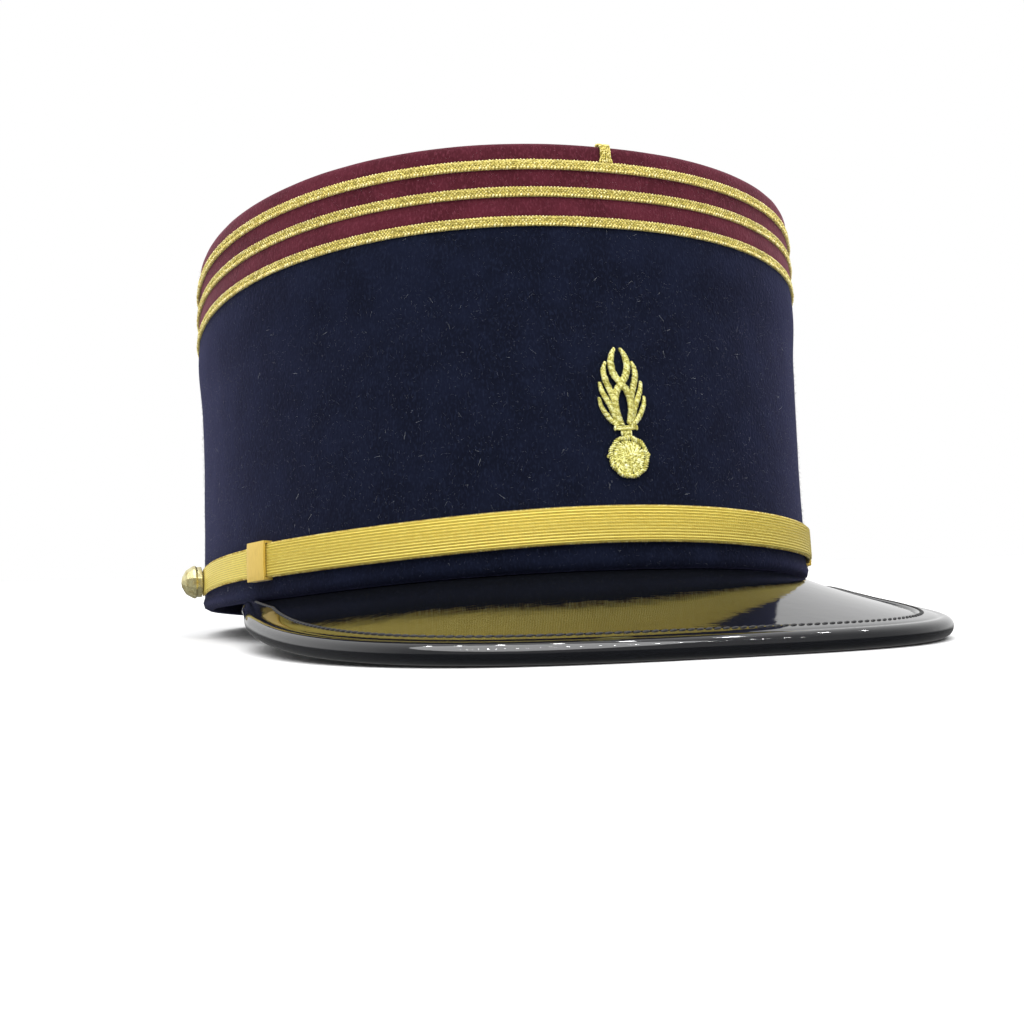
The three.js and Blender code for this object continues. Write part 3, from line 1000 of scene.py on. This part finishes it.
@dataclass
class Badge:
    """Embroidered flaming ball: tongues of flame over a collar and a round ball."""

    shop: Workshop
    wall: CrownWall
    finish: bpy.types.Material
    ball_height: float = 25.7
    rope_radius: float = 4.5
    collar_height: float = 32.4
    fullness: float = 1.2
    flame_scale: float = 0.955
    spacing: float = 0.34
    lean: float = 2.5
    # Rings of the ball's stitches, from the rim inwards: distance from its middle, length and number.
    ball_rings: tuple[tuple[float, float, int], ...] = (
        (3.3, 1.6, 46),
        (2.4, 1.6, 34),
        (1.5, 1.5, 22),
        (0.6, 1.4, 12),
    )
    rope_stitches: int = 54
    rope_lobes: int = 9
    crossing: Strand = Strand(
        (
            (0.95, 33.4, 0.62),
            (1.75, 36.4, 0.74),
            (1.9, 39.2, 0.8),
            (1.2, 41.7, 0.8),
            (-0.3, 43.7, 0.78),
            (-1.55, 45.8, 0.8),
            (-2.0, 48.2, 0.76),
            (-1.6, 50.4, 0.62),
            (-0.75, 52.0, 0.36),
        ),
        0.75,
    )
    outer: tuple[Strand, ...] = (
        Strand(
            (
                (1.9, 38.0, 0.6),
                (2.4, 40.4, 0.66),
                (3.1, 42.6, 0.7),
                (3.75, 44.8, 0.7),
                (3.9, 46.9, 0.58),
                (3.3, 48.7, 0.34),
            ),
            0.55,
        ),
        Strand(
            (
                (1.7, 33.6, 0.6),
                (2.5, 36.2, 0.66),
                (3.4, 38.6, 0.66),
                (4.3, 40.5, 0.62),
                (4.9, 42.2, 0.52),
                (5.1, 43.7, 0.36),
            ),
            0.5,
        ),
        Strand(
            ((1.7, 33.2, 0.55), (3.0, 34.2, 0.6), (4.3, 35.9, 0.62), (5.3, 38.0, 0.52), (5.65, 40.0, 0.34)),
            0.45,
        ),
    )

    def basis(self, side: float, height: float, outset: float) -> Matrix:
        """Frame on the wall at a distance from the centre line."""
        return self.wall.basis(self.route.angle(side), height, outset)

    def stitch(self, at: Vector, lift: float, turn: float, size: Colour) -> Matrix:
        """One stitch laid on the badge.

        Args:
            at: Side and height.
            lift: Height above the cloth.
            turn: Direction of its length, in radians from level.
            size: Length, breadth and thickness.

        Returns:
            Its matrix in the cap's frame.
        """
        lean = math.radians(self.lean)
        heart = Vector((0, self.collar_height))
        leaning = heart + Matrix.Rotation(lean, 2) @ (at - heart)
        shape = Matrix.Rotation(turn + lean, 4, "Z") @ Matrix.Diagonal((*size, 1.0))
        return self.basis(leaning.x, leaning.y, lift) @ shape

    def strand_stitches(self, strand: Strand, mirror: int) -> list[Matrix]:
        """Slanting stitches over one tongue of flame."""
        ends = [strand.at(share)[0] for share in np.linspace(0, 1, 20)]
        length = sum((b - a).length for a, b in zip(ends, ends[1:]))
        count = round(length / self.spacing)
        places = []
        for index in range(count):
            share = index / (count - 1)
            at, half = strand.at(share)
            half *= self.fullness
            at.y = self.collar_height + (at.y - self.collar_height) * self.flame_scale
            ahead = strand.at(min(share + 0.02, 1.0))[0] - strand.at(max(share - 0.02, 0.0))[0]
            turn = math.atan2(ahead.y, ahead.x * mirror) + math.radians(62)
            size = (2 * half * self.rng.uniform(1.0, 1.14), 0.44, 0.9 * half + 0.4)
            at = Vector((at.x * mirror + self.rng.uniform(-0.05, 0.05), at.y))
            places.append(self.stitch(at, strand.lift + self.rng.uniform(-0.04, 0.04), turn, size))
        return places

    def ball_stitches(self) -> list[Matrix]:
        """Radiating stitches of the ball inside a roped ring."""
        places = []
        centre = Vector((0, self.ball_height))
        for ring, (reach, length, count) in enumerate(self.ball_rings):
            for index in range(count):
                turn = math.tau * (index + 0.5 * ring) / count + self.rng.uniform(-0.04, 0.04)
                far = reach + self.rng.uniform(-0.1, 0.1)
                at = centre + Vector((math.cos(turn), math.sin(turn))) * far
                places.append(self.stitch(at, 0.5 + 0.08 * ring, turn + 0.3, (length, 0.58, 0.5)))
        for index in range(self.rope_stitches):
            turn = math.tau * index / self.rope_stitches
            ripple = self.rope_radius + 0.1 * math.cos(self.rope_lobes * turn)
            at = centre + Vector((math.cos(turn), math.sin(turn))) * ripple
            swell = self.rng.uniform(0.92, 1.12)
            places.append(self.stitch(at, 0.62, turn + math.radians(34), (1.42 * swell, 0.5, 1.0)))
        for side in (-1, 1):
            knot = centre + Vector((side * (self.rope_radius + 0.6), 0.3))
            places.append(self.stitch(knot, 0.5, math.pi / 2, (0.9, 0.6, 0.7)))
        return places

    def collar_stitches(self) -> list[Matrix]:
        """Level bar between ball and flame, and the short neck under it."""
        level = [
            self.stitch(Vector((0, self.collar_height + rise)), 0.75, 0.0, (5.6, 0.42, 0.8))
            for rise in (-0.36, -0.12, 0.12, 0.36)
        ]
        knobs = [
            self.stitch(Vector((side, self.collar_height + rise)), 0.75, math.pi / 2, (1.2, 0.6, 0.9))
            for side in (-2.7, 2.7)
            for rise in (-0.06, 0.06)
        ]
        neck = [
            self.stitch(Vector((side, self.collar_height - 1.1)), 0.6, math.pi / 2, (1.5, 0.45, 0.7))
            for side in (-1.1, -0.7, -0.3, 0.1, 0.5, 0.9, 1.2)
        ]
        return level + knobs + neck

    def make(self) -> None:
        """Sew the badge on the front of the crown."""
        self.route = WallRoute(self.wall, self.ball_height)
        self.rng = random.Random(5)
        places = self.ball_stitches() + self.collar_stitches()
        for mirror in (1, -1):
            for strand in (*self.outer, self.crossing):
                places += self.strand_stitches(strand, mirror)
        bpy.ops.mesh.primitive_uv_sphere_add(segments=10, ring_count=6, radius=0.5)
        piece = self.shop.repeat("badge_embroidery", adopt("stitch"), places)
        self.shop.paint(piece, self.finish)
        self.shop.deliver(piece, Slot.EMBROIDERY, "badge")


# ---- chin strap ----------------------------------------------------------------------


@dataclass
class ChinStrap:
    """Ribbed gold strap from button to button, with its keepers and buttons."""

    shop: Workshop
    wall: CrownWall
    height: float = 10.2
    sag: float = 4.3
    end_rise: float = 5.2
    width: float = 8.3
    end_width: float = 7.2
    thickness: float = 1.4
    ribs: int = 12
    rib_depth: float = 0.36
    keeper_degrees: float = 63.0
    keeper_length: float = 8.2
    keeper_height: float = 9.6
    keeper_wall: float = 0.6
    button_degrees: float = 93.0
    button_radius: float = 4.7
    button_rise: float = 5.2

    def __post_init__(self) -> None:
        """Measure the strap's route."""
        self.route = WallRoute(self.wall, self.height)
        self.half_length = self.route.distance(math.radians(self.button_degrees)) + self.button_radius * 0.6

    def level(self, angle: float) -> float:
        """Height of the strap's middle, which dips before the keepers."""
        side = math.sin(angle) ** 2
        return self.height - self.sag * side + self.end_rise * side**2

    def strap(self, finish: bpy.types.Material, picot_finish: bpy.types.Material) -> None:
        """The ribbed strap and the tiny loops along its edges."""
        face_rows, all_rows = 96, 114
        keeper = math.radians(self.keeper_degrees)

        def width_at(angle: float) -> float:
            return lerp(self.width, self.end_width, smoothstep(abs(angle), keeper, keeper + 0.1))

        def place(u: float, v: float) -> Vector:
            angle = self.route.angle(lerp(-self.half_length, self.half_length, u))
            row = round(v * all_rows)
            on_face = row <= face_rows or row == all_rows
            share = (row % all_rows) / face_rows if on_face else (all_rows - row) / (all_rows - face_rows)
            past = smoothstep(abs(angle), keeper, keeper + 0.1)
            rib = abs(math.sin(math.pi * self.ribs * share)) ** 0.6 * lerp(self.rib_depth, 0.05, past)
            edge = 0.55 * (1 - smoothstep(min(share, 1 - share), 0.0, 0.06))
            outset = GAP + self.thickness - self.rib_depth + rib - edge if on_face else GAP
            return self.wall.at(angle, self.level(angle) + (share - 0.5) * width_at(angle), outset)

        strap = self.shop.loft("chin_strap_ribbon", 340, all_rows, place)
        self.shop.paint(strap, finish)
        rng = random.Random(3)
        places = []
        count = round(2 * self.half_length / 0.62)
        for index in range(count):
            angle = self.route.angle(lerp(-self.half_length, self.half_length, (index + 0.5) / count))
            for side in (-1, 1):
                rise = side * (width_at(angle) / 2 - 0.05)
                basis = self.wall.basis(angle, self.level(angle) + rise, GAP + 0.62)
                turn = Matrix.Rotation(math.radians(side * 35 + rng.uniform(-8, 8)), 4, "Z")
                places.append(basis @ turn @ Matrix.Diagonal((0.66, 0.4, 0.62, 1)))
        bpy.ops.mesh.primitive_uv_sphere_add(segments=6, ring_count=4, radius=0.5)
        picots = self.shop.repeat("chin_strap_picots", adopt("picot"), places)
        self.shop.paint(picots, picot_finish)
        self.shop.deliver(self.shop.join([strap, picots]), Slot.RIBBON, "chin_strap")

    def keeper(self, node: str, side: int, finish: bpy.types.Material) -> None:
        """Flat loop of satin ribbon round the strap."""
        depth = GAP + self.thickness + self.keeper_wall + 0.15
        bpy.ops.mesh.primitive_cube_add(size=1, location=(0, 0, depth / 2))
        piece = adopt(f"{node}_loop")
        piece.scale = (self.keeper_length, self.keeper_height, depth)
        settle(piece)
        pick_faces(piece, lambda face: abs(face.normal.x) > 0.9)
        bpy.ops.mesh.delete(type="FACE")
        bpy.ops.mesh.select_all(action="SELECT")
        bpy.ops.mesh.subdivide(number_cuts=5)
        bpy.ops.object.mode_set(mode="OBJECT")
        apply_modifier(piece, "SOLIDIFY", thickness=self.keeper_wall, offset=-1)
        apply_modifier(piece, "BEVEL", width=0.22, segments=3, limit_method="ANGLE")
        middle = self.route.distance(side * math.radians(self.keeper_degrees))
        for vertex in piece.data.vertices:
            angle = self.route.angle(middle + vertex.co.x)
            swell = 0.12 * math.cos(vertex.co.y / self.keeper_height * math.pi)
            vertex.co = self.wall.at(angle, self.level(angle) + vertex.co.y, vertex.co.z + swell)
        self.shop.paint(piece, finish)
        self.shop.deliver(piece, Slot.KEEPER, node)

    def button(self, node: str, side: int, finish: bpy.types.Material) -> None:
        """Faceted dome on a short neck."""
        rings = ((0.92, 1.0), (1.0, 1.3), (0.97, 2.0), (0.72, 3.9), (0.3, 5.0))
        neck = self.button_radius * rings[0][0]
        bpy.ops.mesh.primitive_cylinder_add(vertices=10, radius=neck, depth=1.4, location=(0, 0, 0.3))
        piece = adopt(f"{node}_dome")
        settle(piece)
        pick_faces(piece, lambda face: face.normal.z > 0.9)
        for (width, low), (reach, height) in zip(rings, rings[1:]):
            bpy.ops.mesh.extrude_region_move(TRANSFORM_OT_translate={"value": (0, 0, height - low)})
            share = reach / width
            bpy.ops.transform.resize(value=(share, share, 1), center_override=(0, 0, height))
        bpy.ops.mesh.poke(offset=self.button_rise - rings[-1][1])
        bpy.ops.object.mode_set(mode="OBJECT")
        limit = math.radians(12)
        apply_modifier(piece, "BEVEL", width=0.16, segments=3, limit_method="ANGLE", angle_limit=limit)
        angle = side * math.radians(self.button_degrees)
        basis = self.wall.basis(angle, self.level(angle), GAP * 2.5 + self.thickness)
        piece.data.transform(basis)
        self.shop.paint(piece, finish)
        piece.data.shade_flat()
        self.shop.deliver(piece, Slot.GILT, node)


# ---- visor ---------------------------------------------------------------------------


@dataclass(frozen=True)
class Station:
    """Place and directions of the visor at one turn."""

    edge: Vector
    at_hem: Vector
    under_wall: Vector
    ahead: Vector
    inward: Vector
    rise: Vector
    tail: float
    near_end: float


@dataclass(frozen=True, eq=False)
class Visor:
    """Patent leather visor: a falling sheet inside a rolled and stitched edge."""

    shop: Workshop
    wall: CrownWall
    half_width: float = 81.2
    front_y: float = -142.3
    centre_y: float = -36.8
    exponent: float = 3.2
    front_height: float = -19.7
    back_slope: float = 0.108
    back_curve: float = 0.0007
    side_rise: float = 0.55
    radius: float = 2.2
    tail: float = 6.3
    end_degrees: float = 87.5
    hem_degrees: float = 67.5
    tuck_from: float = 72.0
    tuck: float = 2.3
    thickness: float = 2.2
    dip: float = 4.0
    dip_share: float = 0.8
    stitch_pitch: float = 1.9
    end_lift: float = 0.75
    end_lift_turns: tuple[float, float] = (0.72, 0.94)

    def rim(self, angle: float) -> Vector:
        """Centre line of the rolled edge."""
        side, front = oval_direction(angle, self.exponent)
        tucked = self.tuck * smoothstep(abs(math.degrees(angle)), self.tuck_from, self.end_degrees)
        x = self.half_width * side - math.copysign(tucked, angle)
        y = self.centre_y - (self.centre_y - self.front_y) * front
        back = y - self.front_y
        rise = self.back_slope * back + self.back_curve * back**2 + self.side_rise * side**2
        return Vector((x, y, self.front_height + rise))

    @lru_cache(maxsize=None)
    def station(self, turn: float) -> Station:
        """Frame of the visor at a turn from -1 to 1, from its right end to its left."""
        rim_angle = turn * math.radians(self.end_degrees)
        hem_angle = turn * math.radians(self.hem_degrees)
        edge = self.rim(rim_angle)
        ahead = (self.rim(rim_angle + 1e-3) - self.rim(rim_angle - 1e-3)).normalized()
        hem_height = self.wall.hem_rise(hem_angle) - GAP
        at_hem = self.wall.at(hem_angle, 0, -0.6)
        under_wall = self.wall.at(hem_angle, 0, -WALL)
        at_hem.z = under_wall.z = hem_height
        reach = math.hypot(at_hem.x - edge.x, at_hem.y - edge.y)
        tail = min(max(reach * 0.5, 0.8), self.tail)
        inward = at_hem - edge + Vector((-ahead.y, ahead.x, 0)).normalized() * 6
        inward = (inward - ahead * inward.dot(ahead)).normalized()
        near_end = smoothstep(abs(turn), *self.end_lift_turns)
        return Station(edge, at_hem, under_wall, ahead, inward, ahead.cross(inward), tail, near_end)

    def sheet(self, finish: bpy.types.Material) -> None:
        """The sheet from under the hem down to the rolled edge."""
        rows = 52
        half = rows // 2

        def place(u: float, v: float) -> Vector:
            here = self.station(2 * u - 1)
            row = round(v * rows) % rows
            under = row >= half
            step = (rows - 1 - row if under else row) / (half - 1)
            drop = self.thickness if under else 0.0
            if step < 0.12:
                point = here.under_wall.lerp(here.at_hem, step / 0.12)
                return point - Vector((0, 0, drop))
            share = (step - 0.12) / 0.88
            foot = here.edge + here.inward * (here.tail - 0.4) + here.rise * (self.thickness / 2)
            point = here.at_hem.lerp(foot, share)
            reach = (foot - here.at_hem).length
            dip = self.dip * min(reach / 36, 1.0)
            bend = (1 - math.exp(-share / self.dip_share)) / (1 - math.exp(-1 / self.dip_share))
            point.z -= dip * (bend - share)
            blend = smoothstep(share, 0.0, 0.2)
            return point - Vector((0, 0, 1)).lerp(here.rise, blend) * drop

        piece = self.shop.loft("visor_sheet", 220, rows, place)
        self.shop.paint(piece, finish)
        self.shop.deliver(piece, Slot.PATENT, "visor")

    def binding_section(self, here: Station) -> Section:
        """Outline of the rolled edge: inset and lift from its centre line."""
        lift = self.thickness / 2
        raised = lift + self.end_lift * here.near_end
        tail = here.tail
        return Section(
            (
                (-self.radius, 0.0),
                (-self.radius * 0.72, self.radius * 0.72),
                (0.0, self.radius),
                (tail * 0.24, self.radius * 0.8),
                (tail * 0.36, self.radius * 0.84),
                (tail * 0.75, raised + 0.62),
                (tail * 0.95, raised + 0.45),
                (tail, lift + 0.05),
                (tail, -lift + 0.1),
                (tail * 0.6, -lift - 0.5),
                (0.0, -self.radius),
                (-self.radius * 0.72, -self.radius * 0.72),
            ),
            closed=True,
        )

    def binding(self, finish: bpy.types.Material, thread: bpy.types.Material) -> None:
        """The rolled edge with its row of stitches."""
        sections: dict[float, Section] = {}

        def place(u: float, v: float) -> Vector:
            turn = 2 * u - 1
            here = self.station(turn)
            section = sections.setdefault(turn, self.binding_section(here))
            inset, lift = section.at(v * section.length)
            return here.edge + here.inward * inset + here.rise * lift

        roll = self.shop.loft("visor_binding_roll", 260, 40, place)
        self.shop.paint(roll, finish)
        turns = np.linspace(-0.97, 0.97, 2000)
        line = [self.stitch_point(turn) for turn in turns]
        walked = np.concatenate([[0], np.cumsum([(b - a).length for a, b in zip(line, line[1:])])])
        count = round(walked[-1] / self.stitch_pitch)
        places = []
        for index in range(count):
            turn = float(np.interp((index + 0.5) / count * walked[-1], walked, turns))
            here = self.station(turn)
            spin = Matrix((here.ahead, here.inward, here.rise)).transposed().to_4x4()
            shape = Matrix.Rotation(math.radians(18), 4, "Z") @ Matrix.Diagonal((2.1, 0.74, 0.6, 1.0))
            places.append(Matrix.Translation(self.stitch_point(turn)) @ spin @ shape)
        bpy.ops.mesh.primitive_uv_sphere_add(segments=8, ring_count=6, radius=0.5)
        stitches = self.shop.repeat("visor_stitches", adopt("stitch"), places)
        self.shop.paint(stitches, thread)
        self.shop.deliver(self.shop.join([roll, stitches]), Slot.PATENT, "visor_binding")

    def stitch_point(self, turn: float) -> Vector:
        """Place of the seam on top of the rolled edge's tail."""
        here = self.station(turn)
        lift = self.thickness / 2 + 0.58 + self.end_lift * here.near_end
        return here.edge + here.inward * (here.tail * 0.82) + here.rise * lift


# ---- loose fibres --------------------------------------------------------------------


@dataclass
class Nap:
    """Short stray fibres that stand out of the cloth, and pale lint caught on it."""

    shop: Workshop
    wall: CrownWall
    seed: int = 21
    fibres: int = 17000
    flecks: int = 420
    full_height: float = 80.0

    def fibre(self) -> bpy.types.Object:
        """One fibre, 1 mm long, tapering to a point."""
        bpy.ops.mesh.primitive_cone_add(vertices=3, radius1=0.5, depth=1, rotation=(0, math.pi / 2, 0))
        piece = adopt("fibre")
        settle(piece)
        return piece

    def scatter(
        self,
        count: int,
        low: float,
        high: float,
        length: tuple[float, float],
        breadth: float,
        lean: tuple[float, float],
    ) -> list[Matrix]:
        """Places of fibres over a stretch of the wall.

        Args:
            count: How many fibres.
            low: Lowest height.
            high: Greatest height.
            length: Shortest and longest fibre.
            breadth: Breadth of each.
            lean: Least and greatest angle off the cloth, in degrees.

        Returns:
            A matrix for each fibre.
        """
        places = []
        for _ in range(count):
            angle = self.rng.uniform(-math.pi, math.pi)
            height = self.rng.uniform(low, high)
            height += self.wall.hem_rise(angle) * max(0.0, 1 - height / SEAM)
            basis = self.wall.basis(angle, height, 0.12)
            spin = Matrix.Rotation(self.rng.uniform(0, math.tau), 4, "Z")
            tilt = Matrix.Rotation(-math.radians(self.rng.uniform(*lean)), 4, "Y")
            long = self.rng.uniform(*length)
            shape = Matrix.Translation((long * 0.45, 0, 0)) @ Matrix.Diagonal((long, breadth, breadth, 1))
            places.append(basis @ spin @ tilt @ shape)
        return places

    def cover(
        self,
        name: str,
        node: str,
        slot: Slot,
        finish: bpy.types.Material,
        lint: bpy.types.Material,
        span: tuple[float, float],
    ) -> None:
        """Nap and lint over one stretch of cloth.

        Args:
            name: The piece's name.
            node: The CAD node whose cloth it stands on.
            slot: The record's slot of that cloth.
            finish: The nap's finish.
            lint: The lint's finish.
            span: Lowest and greatest height.
        """
        self.rng = random.Random(self.seed + int(span[0]))
        low, high = span
        share = (high - low) / self.full_height
        fibres = self.scatter(round(self.fibres * share), low, high, (0.5, 1.3), 0.035, (8, 50))
        nap = self.shop.repeat(name, self.fibre(), fibres)
        self.shop.paint(nap, finish)
        flecks = self.scatter(round(self.flecks * share), low, high, (0.5, 2.2), 0.05, (0, 8))
        specks = self.shop.repeat(f"{name}_lint", self.fibre(), flecks)
        self.shop.paint(specks, lint)
        self.shop.deliver(self.shop.join([nap, specks]), slot, node)


# ---- studio --------------------------------------------------------------------------


@dataclass(frozen=True)
class Studio:
    """Camera, floor and light."""

    frame: CapFrame
    camera_place: Colour = (-113.8, -353.1, -27.7)
    azimuth: float = -18.73
    elevation: float = -8.77
    roll: float = -3.52
    lens: float = 42.96
    near_light: float = 0.3
    far_light: float = 1.0
    ground_light: float = 0.16
    sky_light: float = 3.1

    def camera(self) -> None:
        """A camera just above the floor, a little to the wearer's right of the front."""
        turn, lift = math.radians(self.azimuth), math.radians(self.elevation)
        back = Vector((math.sin(turn) * math.cos(lift), -math.cos(turn) * math.cos(lift), math.sin(lift)))
        right = Vector((0, 0, 1)).cross(back).normalized()
        up = back.cross(right)
        looks = Matrix((right, up, back)).transposed() @ Matrix.Rotation(math.radians(self.roll), 3, "Z")
        bpy.ops.object.camera_add()
        camera = adopt("camera")
        camera.data.lens = self.lens
        camera.data.clip_start = 0.01
        to_row = self.frame.to_row
        place = to_row @ Vector(self.camera_place)
        camera.matrix_world = Matrix.Translation(place) @ (to_row.to_3x3().normalized() @ looks).to_4x4()
        bpy.context.scene.camera = camera

    def floor(self) -> None:
        """A wide pale floor."""
        bpy.ops.mesh.primitive_plane_add(size=8, location=(0, 0, -0.0002))
        floor = adopt("floor")
        floor.data.materials.append(PaleFloor().build())
        floor.visible_glossy = False

    def lamp(self, name: str, place: Colour, size: float, power: float, aim: Colour = (0, 0, 0.06)) -> None:
        """One soft square lamp that looks at the cap.

        Args:
            name: The lamp's name.
            place: Where it hangs, in metres.
            size: Its breadth.
            power: Its power in watts.
            aim: The point that it looks at.
        """
        bpy.ops.object.light_add(type="AREA", location=place)
        lamp = adopt(name)
        lamp.data.size = size
        lamp.data.energy = power
        lamp.rotation_euler = (Vector(aim) - Vector(place)).to_track_quat("-Z", "Y").to_euler()

    def room(self, tree: bpy.types.NodeTree) -> None:
        """White surroundings that give less light from the camera's side and little from below.

        Args:
            tree: The world's nodes.
        """
        way = tree.nodes.new("ShaderNodeTexCoord")
        parts = tree.nodes.new("ShaderNodeSeparateXYZ")
        depth = tree.nodes.new("ShaderNodeMapRange")
        depth.interpolation_type = "SMOOTHSTEP"
        lift = tree.nodes.new("ShaderNodeMapRange")
        above = tree.nodes.new("ShaderNodeMath")
        above.operation = "MULTIPLY"
        plain = tree.nodes.new("ShaderNodeLightPath")
        seen = tree.nodes.new("ShaderNodeMix")
        ranges = (
            (depth, (-0.6, 0.7, self.near_light, self.far_light)),
            (lift, (-0.08, 0.02, self.ground_light, 1.0)),
        )
        for node, limits in ranges:
            for key, value in zip(("From Min", "From Max", "To Min", "To Max"), limits):
                node.inputs[key].default_value = value
        seen.inputs["B"].default_value = 1.0
        background = tree.nodes["Background"]
        tree.links.new(way.outputs["Generated"], parts.inputs["Vector"])
        tree.links.new(parts.outputs["Y"], depth.inputs["Value"])
        tree.links.new(parts.outputs["Z"], lift.inputs["Value"])
        tree.links.new(depth.outputs["Result"], above.inputs[0])
        tree.links.new(lift.outputs["Result"], above.inputs[1])
        tree.links.new(plain.outputs["Is Camera Ray"], seen.inputs["Factor"])
        tree.links.new(above.outputs["Value"], seen.inputs["A"])
        tree.links.new(seen.outputs["Result"], background.inputs["Strength"])

    def light(self) -> None:
        """White surroundings, one broad sun lamp and two rows of small lamps."""
        world = bpy.data.worlds.new("studio")
        world.use_nodes = True
        world.node_tree.nodes["Background"].inputs["Color"].default_value = (1, 1, 1, 1)
        self.room(world.node_tree)
        bpy.context.scene.world = world
        bpy.context.scene.view_settings.view_transform = "Standard"
        bpy.ops.object.light_add(type="SUN", location=(0, 0, 1))
        sun = adopt("sky")
        sun.data.energy = self.sky_light
        sun.data.angle = math.radians(75)
        sun.rotation_euler = (math.radians(32), 0, math.radians(-20))
        for index in range(22):
            self.lamp(f"low_row_{index}", (-0.55 + 0.052 * index, -0.58, 0.6), 0.007, 0.05)
        for index in range(8):
            self.lamp(f"high_row_{index}", (-0.3 + 0.13 * index, -0.02, 0.64), 0.018, 0.12)


# ---- assembly ------------------------------------------------------------------------


NAVY = WoolCloth(
    "navy_wool",
    deep=(0.0033, 0.0047, 0.0118),
    plain=(0.0049, 0.007, 0.0178),
    lit=(0.0095, 0.013, 0.029),
    sheen_tint=(0.42, 0.42, 0.95),
)
CRIMSON = WoolCloth(
    "crimson_wool",
    deep=(0.058, 0.0092, 0.0152),
    plain=(0.082, 0.0132, 0.0225),
    lit=(0.12, 0.0245, 0.039),
    sheen_tint=(1.0, 0.5, 0.62),
    sheen=0.19,
)
# Each thread gold runs from painted shade through its own tone to a painted glint.
BRAID_GOLD = MetalThread("braid_gold", (0.38, 0.31, 0.05), (0.80, 0.67, 0.14), (1.0, 0.90, 0.42))
# A lighter copy of the braid gold: painted highlight for the edge rows.
BRAID_EDGE_LIT = MetalThread("braid_edge_painted_highlight", (0.60, 0.47, 0.12), (0.96, 0.82, 0.27), (1.0, 0.91, 0.52))
# A darker copy of the braid gold for the core: painted shade between the stitches.
BRAID_CORE_SHADED = MetalThread("braid_core_painted_shade", (0.30, 0.24, 0.04), (0.50, 0.41, 0.09), (0.62, 0.53, 0.15))
BADGE_GOLD = MetalThread("badge_gold", (0.48, 0.43, 0.08), (0.88, 0.84, 0.28), (1.0, 0.99, 0.58))
# The crown's outline under the front braid: height and outset, from the upper braid over the top edge.
FRONT_FOLD = ((96.9, 0.0), (98.4, 0.0), (99.8, 0.0), (100.9, -0.4), (101.4, -1.2), (101.2, -1.8))
PICOT_GOLD = MetalThread("picot_gold", (0.42, 0.28, 0.04), (0.74, 0.57, 0.13), (0.95, 0.84, 0.36))


def build() -> None:
    """Make every piece of the cap in order."""
    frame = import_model()
    cap = CapFrame.from_record(frame["record"])
    studio = Studio(cap)
    studio.camera()
    studio.floor()
    studio.light()

    wall = CrownWall()
    shop = Workshop(cap)
    crown = Crown(shop, wall)
    navy, crimson = NAVY.build(), CRIMSON.build()
    crown.band(navy)
    crown.upper(crimson)
    crown.panel(crimson)

    braids = Braids(shop, wall, BRAID_GOLD.build(), BRAID_EDGE_LIT.build(), BRAID_CORE_SHADED.build())
    for node, height in braids.heights:
        braids.ring(node, height)
    braids.front(Section(FRONT_FOLD))
    Badge(shop, wall, BADGE_GOLD.build()).make()

    strap = ChinStrap(shop, wall)
    ribbon = RibbedRibbon(
        "strap_gold",
        # The strap's shade colour is painted shade in its grooves and its bright colour painted glints.
        shade=(0.40, 0.27, 0.025),
        plain=(0.77, 0.60, 0.09),
        bright=(0.96, 0.86, 0.26),
        length=2 * strap.half_length,
        ribs=strap.ribs,
    )
    strap.strap(ribbon.build(), PICOT_GOLD.build())
    satin = SatinRibbon("keeper_gold", (0.60, 0.40, 0.055), (0.74, 0.52, 0.095)).build()
    gilt = GiltMetal().build()
    for node, side in (("left", 1), ("right", -1)):
        strap.keeper(f"keeper_{node}", side, satin)
        strap.button(f"button_{node}", side, gilt)

    visor = Visor(shop, wall)
    patent = PatentLeather().build()
    visor.sheet(patent)
    visor.binding(patent, WaxedThread().build())

    nap = Nap(shop, wall)
    lint = LooseFibre("pale_lint", (0.12, 0.13, 0.16), (0.55, 0.58, 0.62)).build()
    navy_nap = LooseFibre("navy_fibre", (0.012, 0.015, 0.035), (0.045, 0.05, 0.09)).build()
    crimson_nap = LooseFibre("crimson_fibre", (0.12, 0.025, 0.045), (0.34, 0.10, 0.15)).build()
    nap.cover("crown_band_nap", "crown_band", Slot.NAVY, navy_nap, lint, (0.5, 80.5))
    nap.cover("crown_upper_nap", "crown_upper", Slot.CRIMSON, crimson_nap, crimson_nap, (82.8, 100.2))


def main() -> None:
    """Build the scene."""
    logging.basicConfig(level=logging.INFO, format="%(message)s")
    build()


if __name__ == "__main__":
    main()
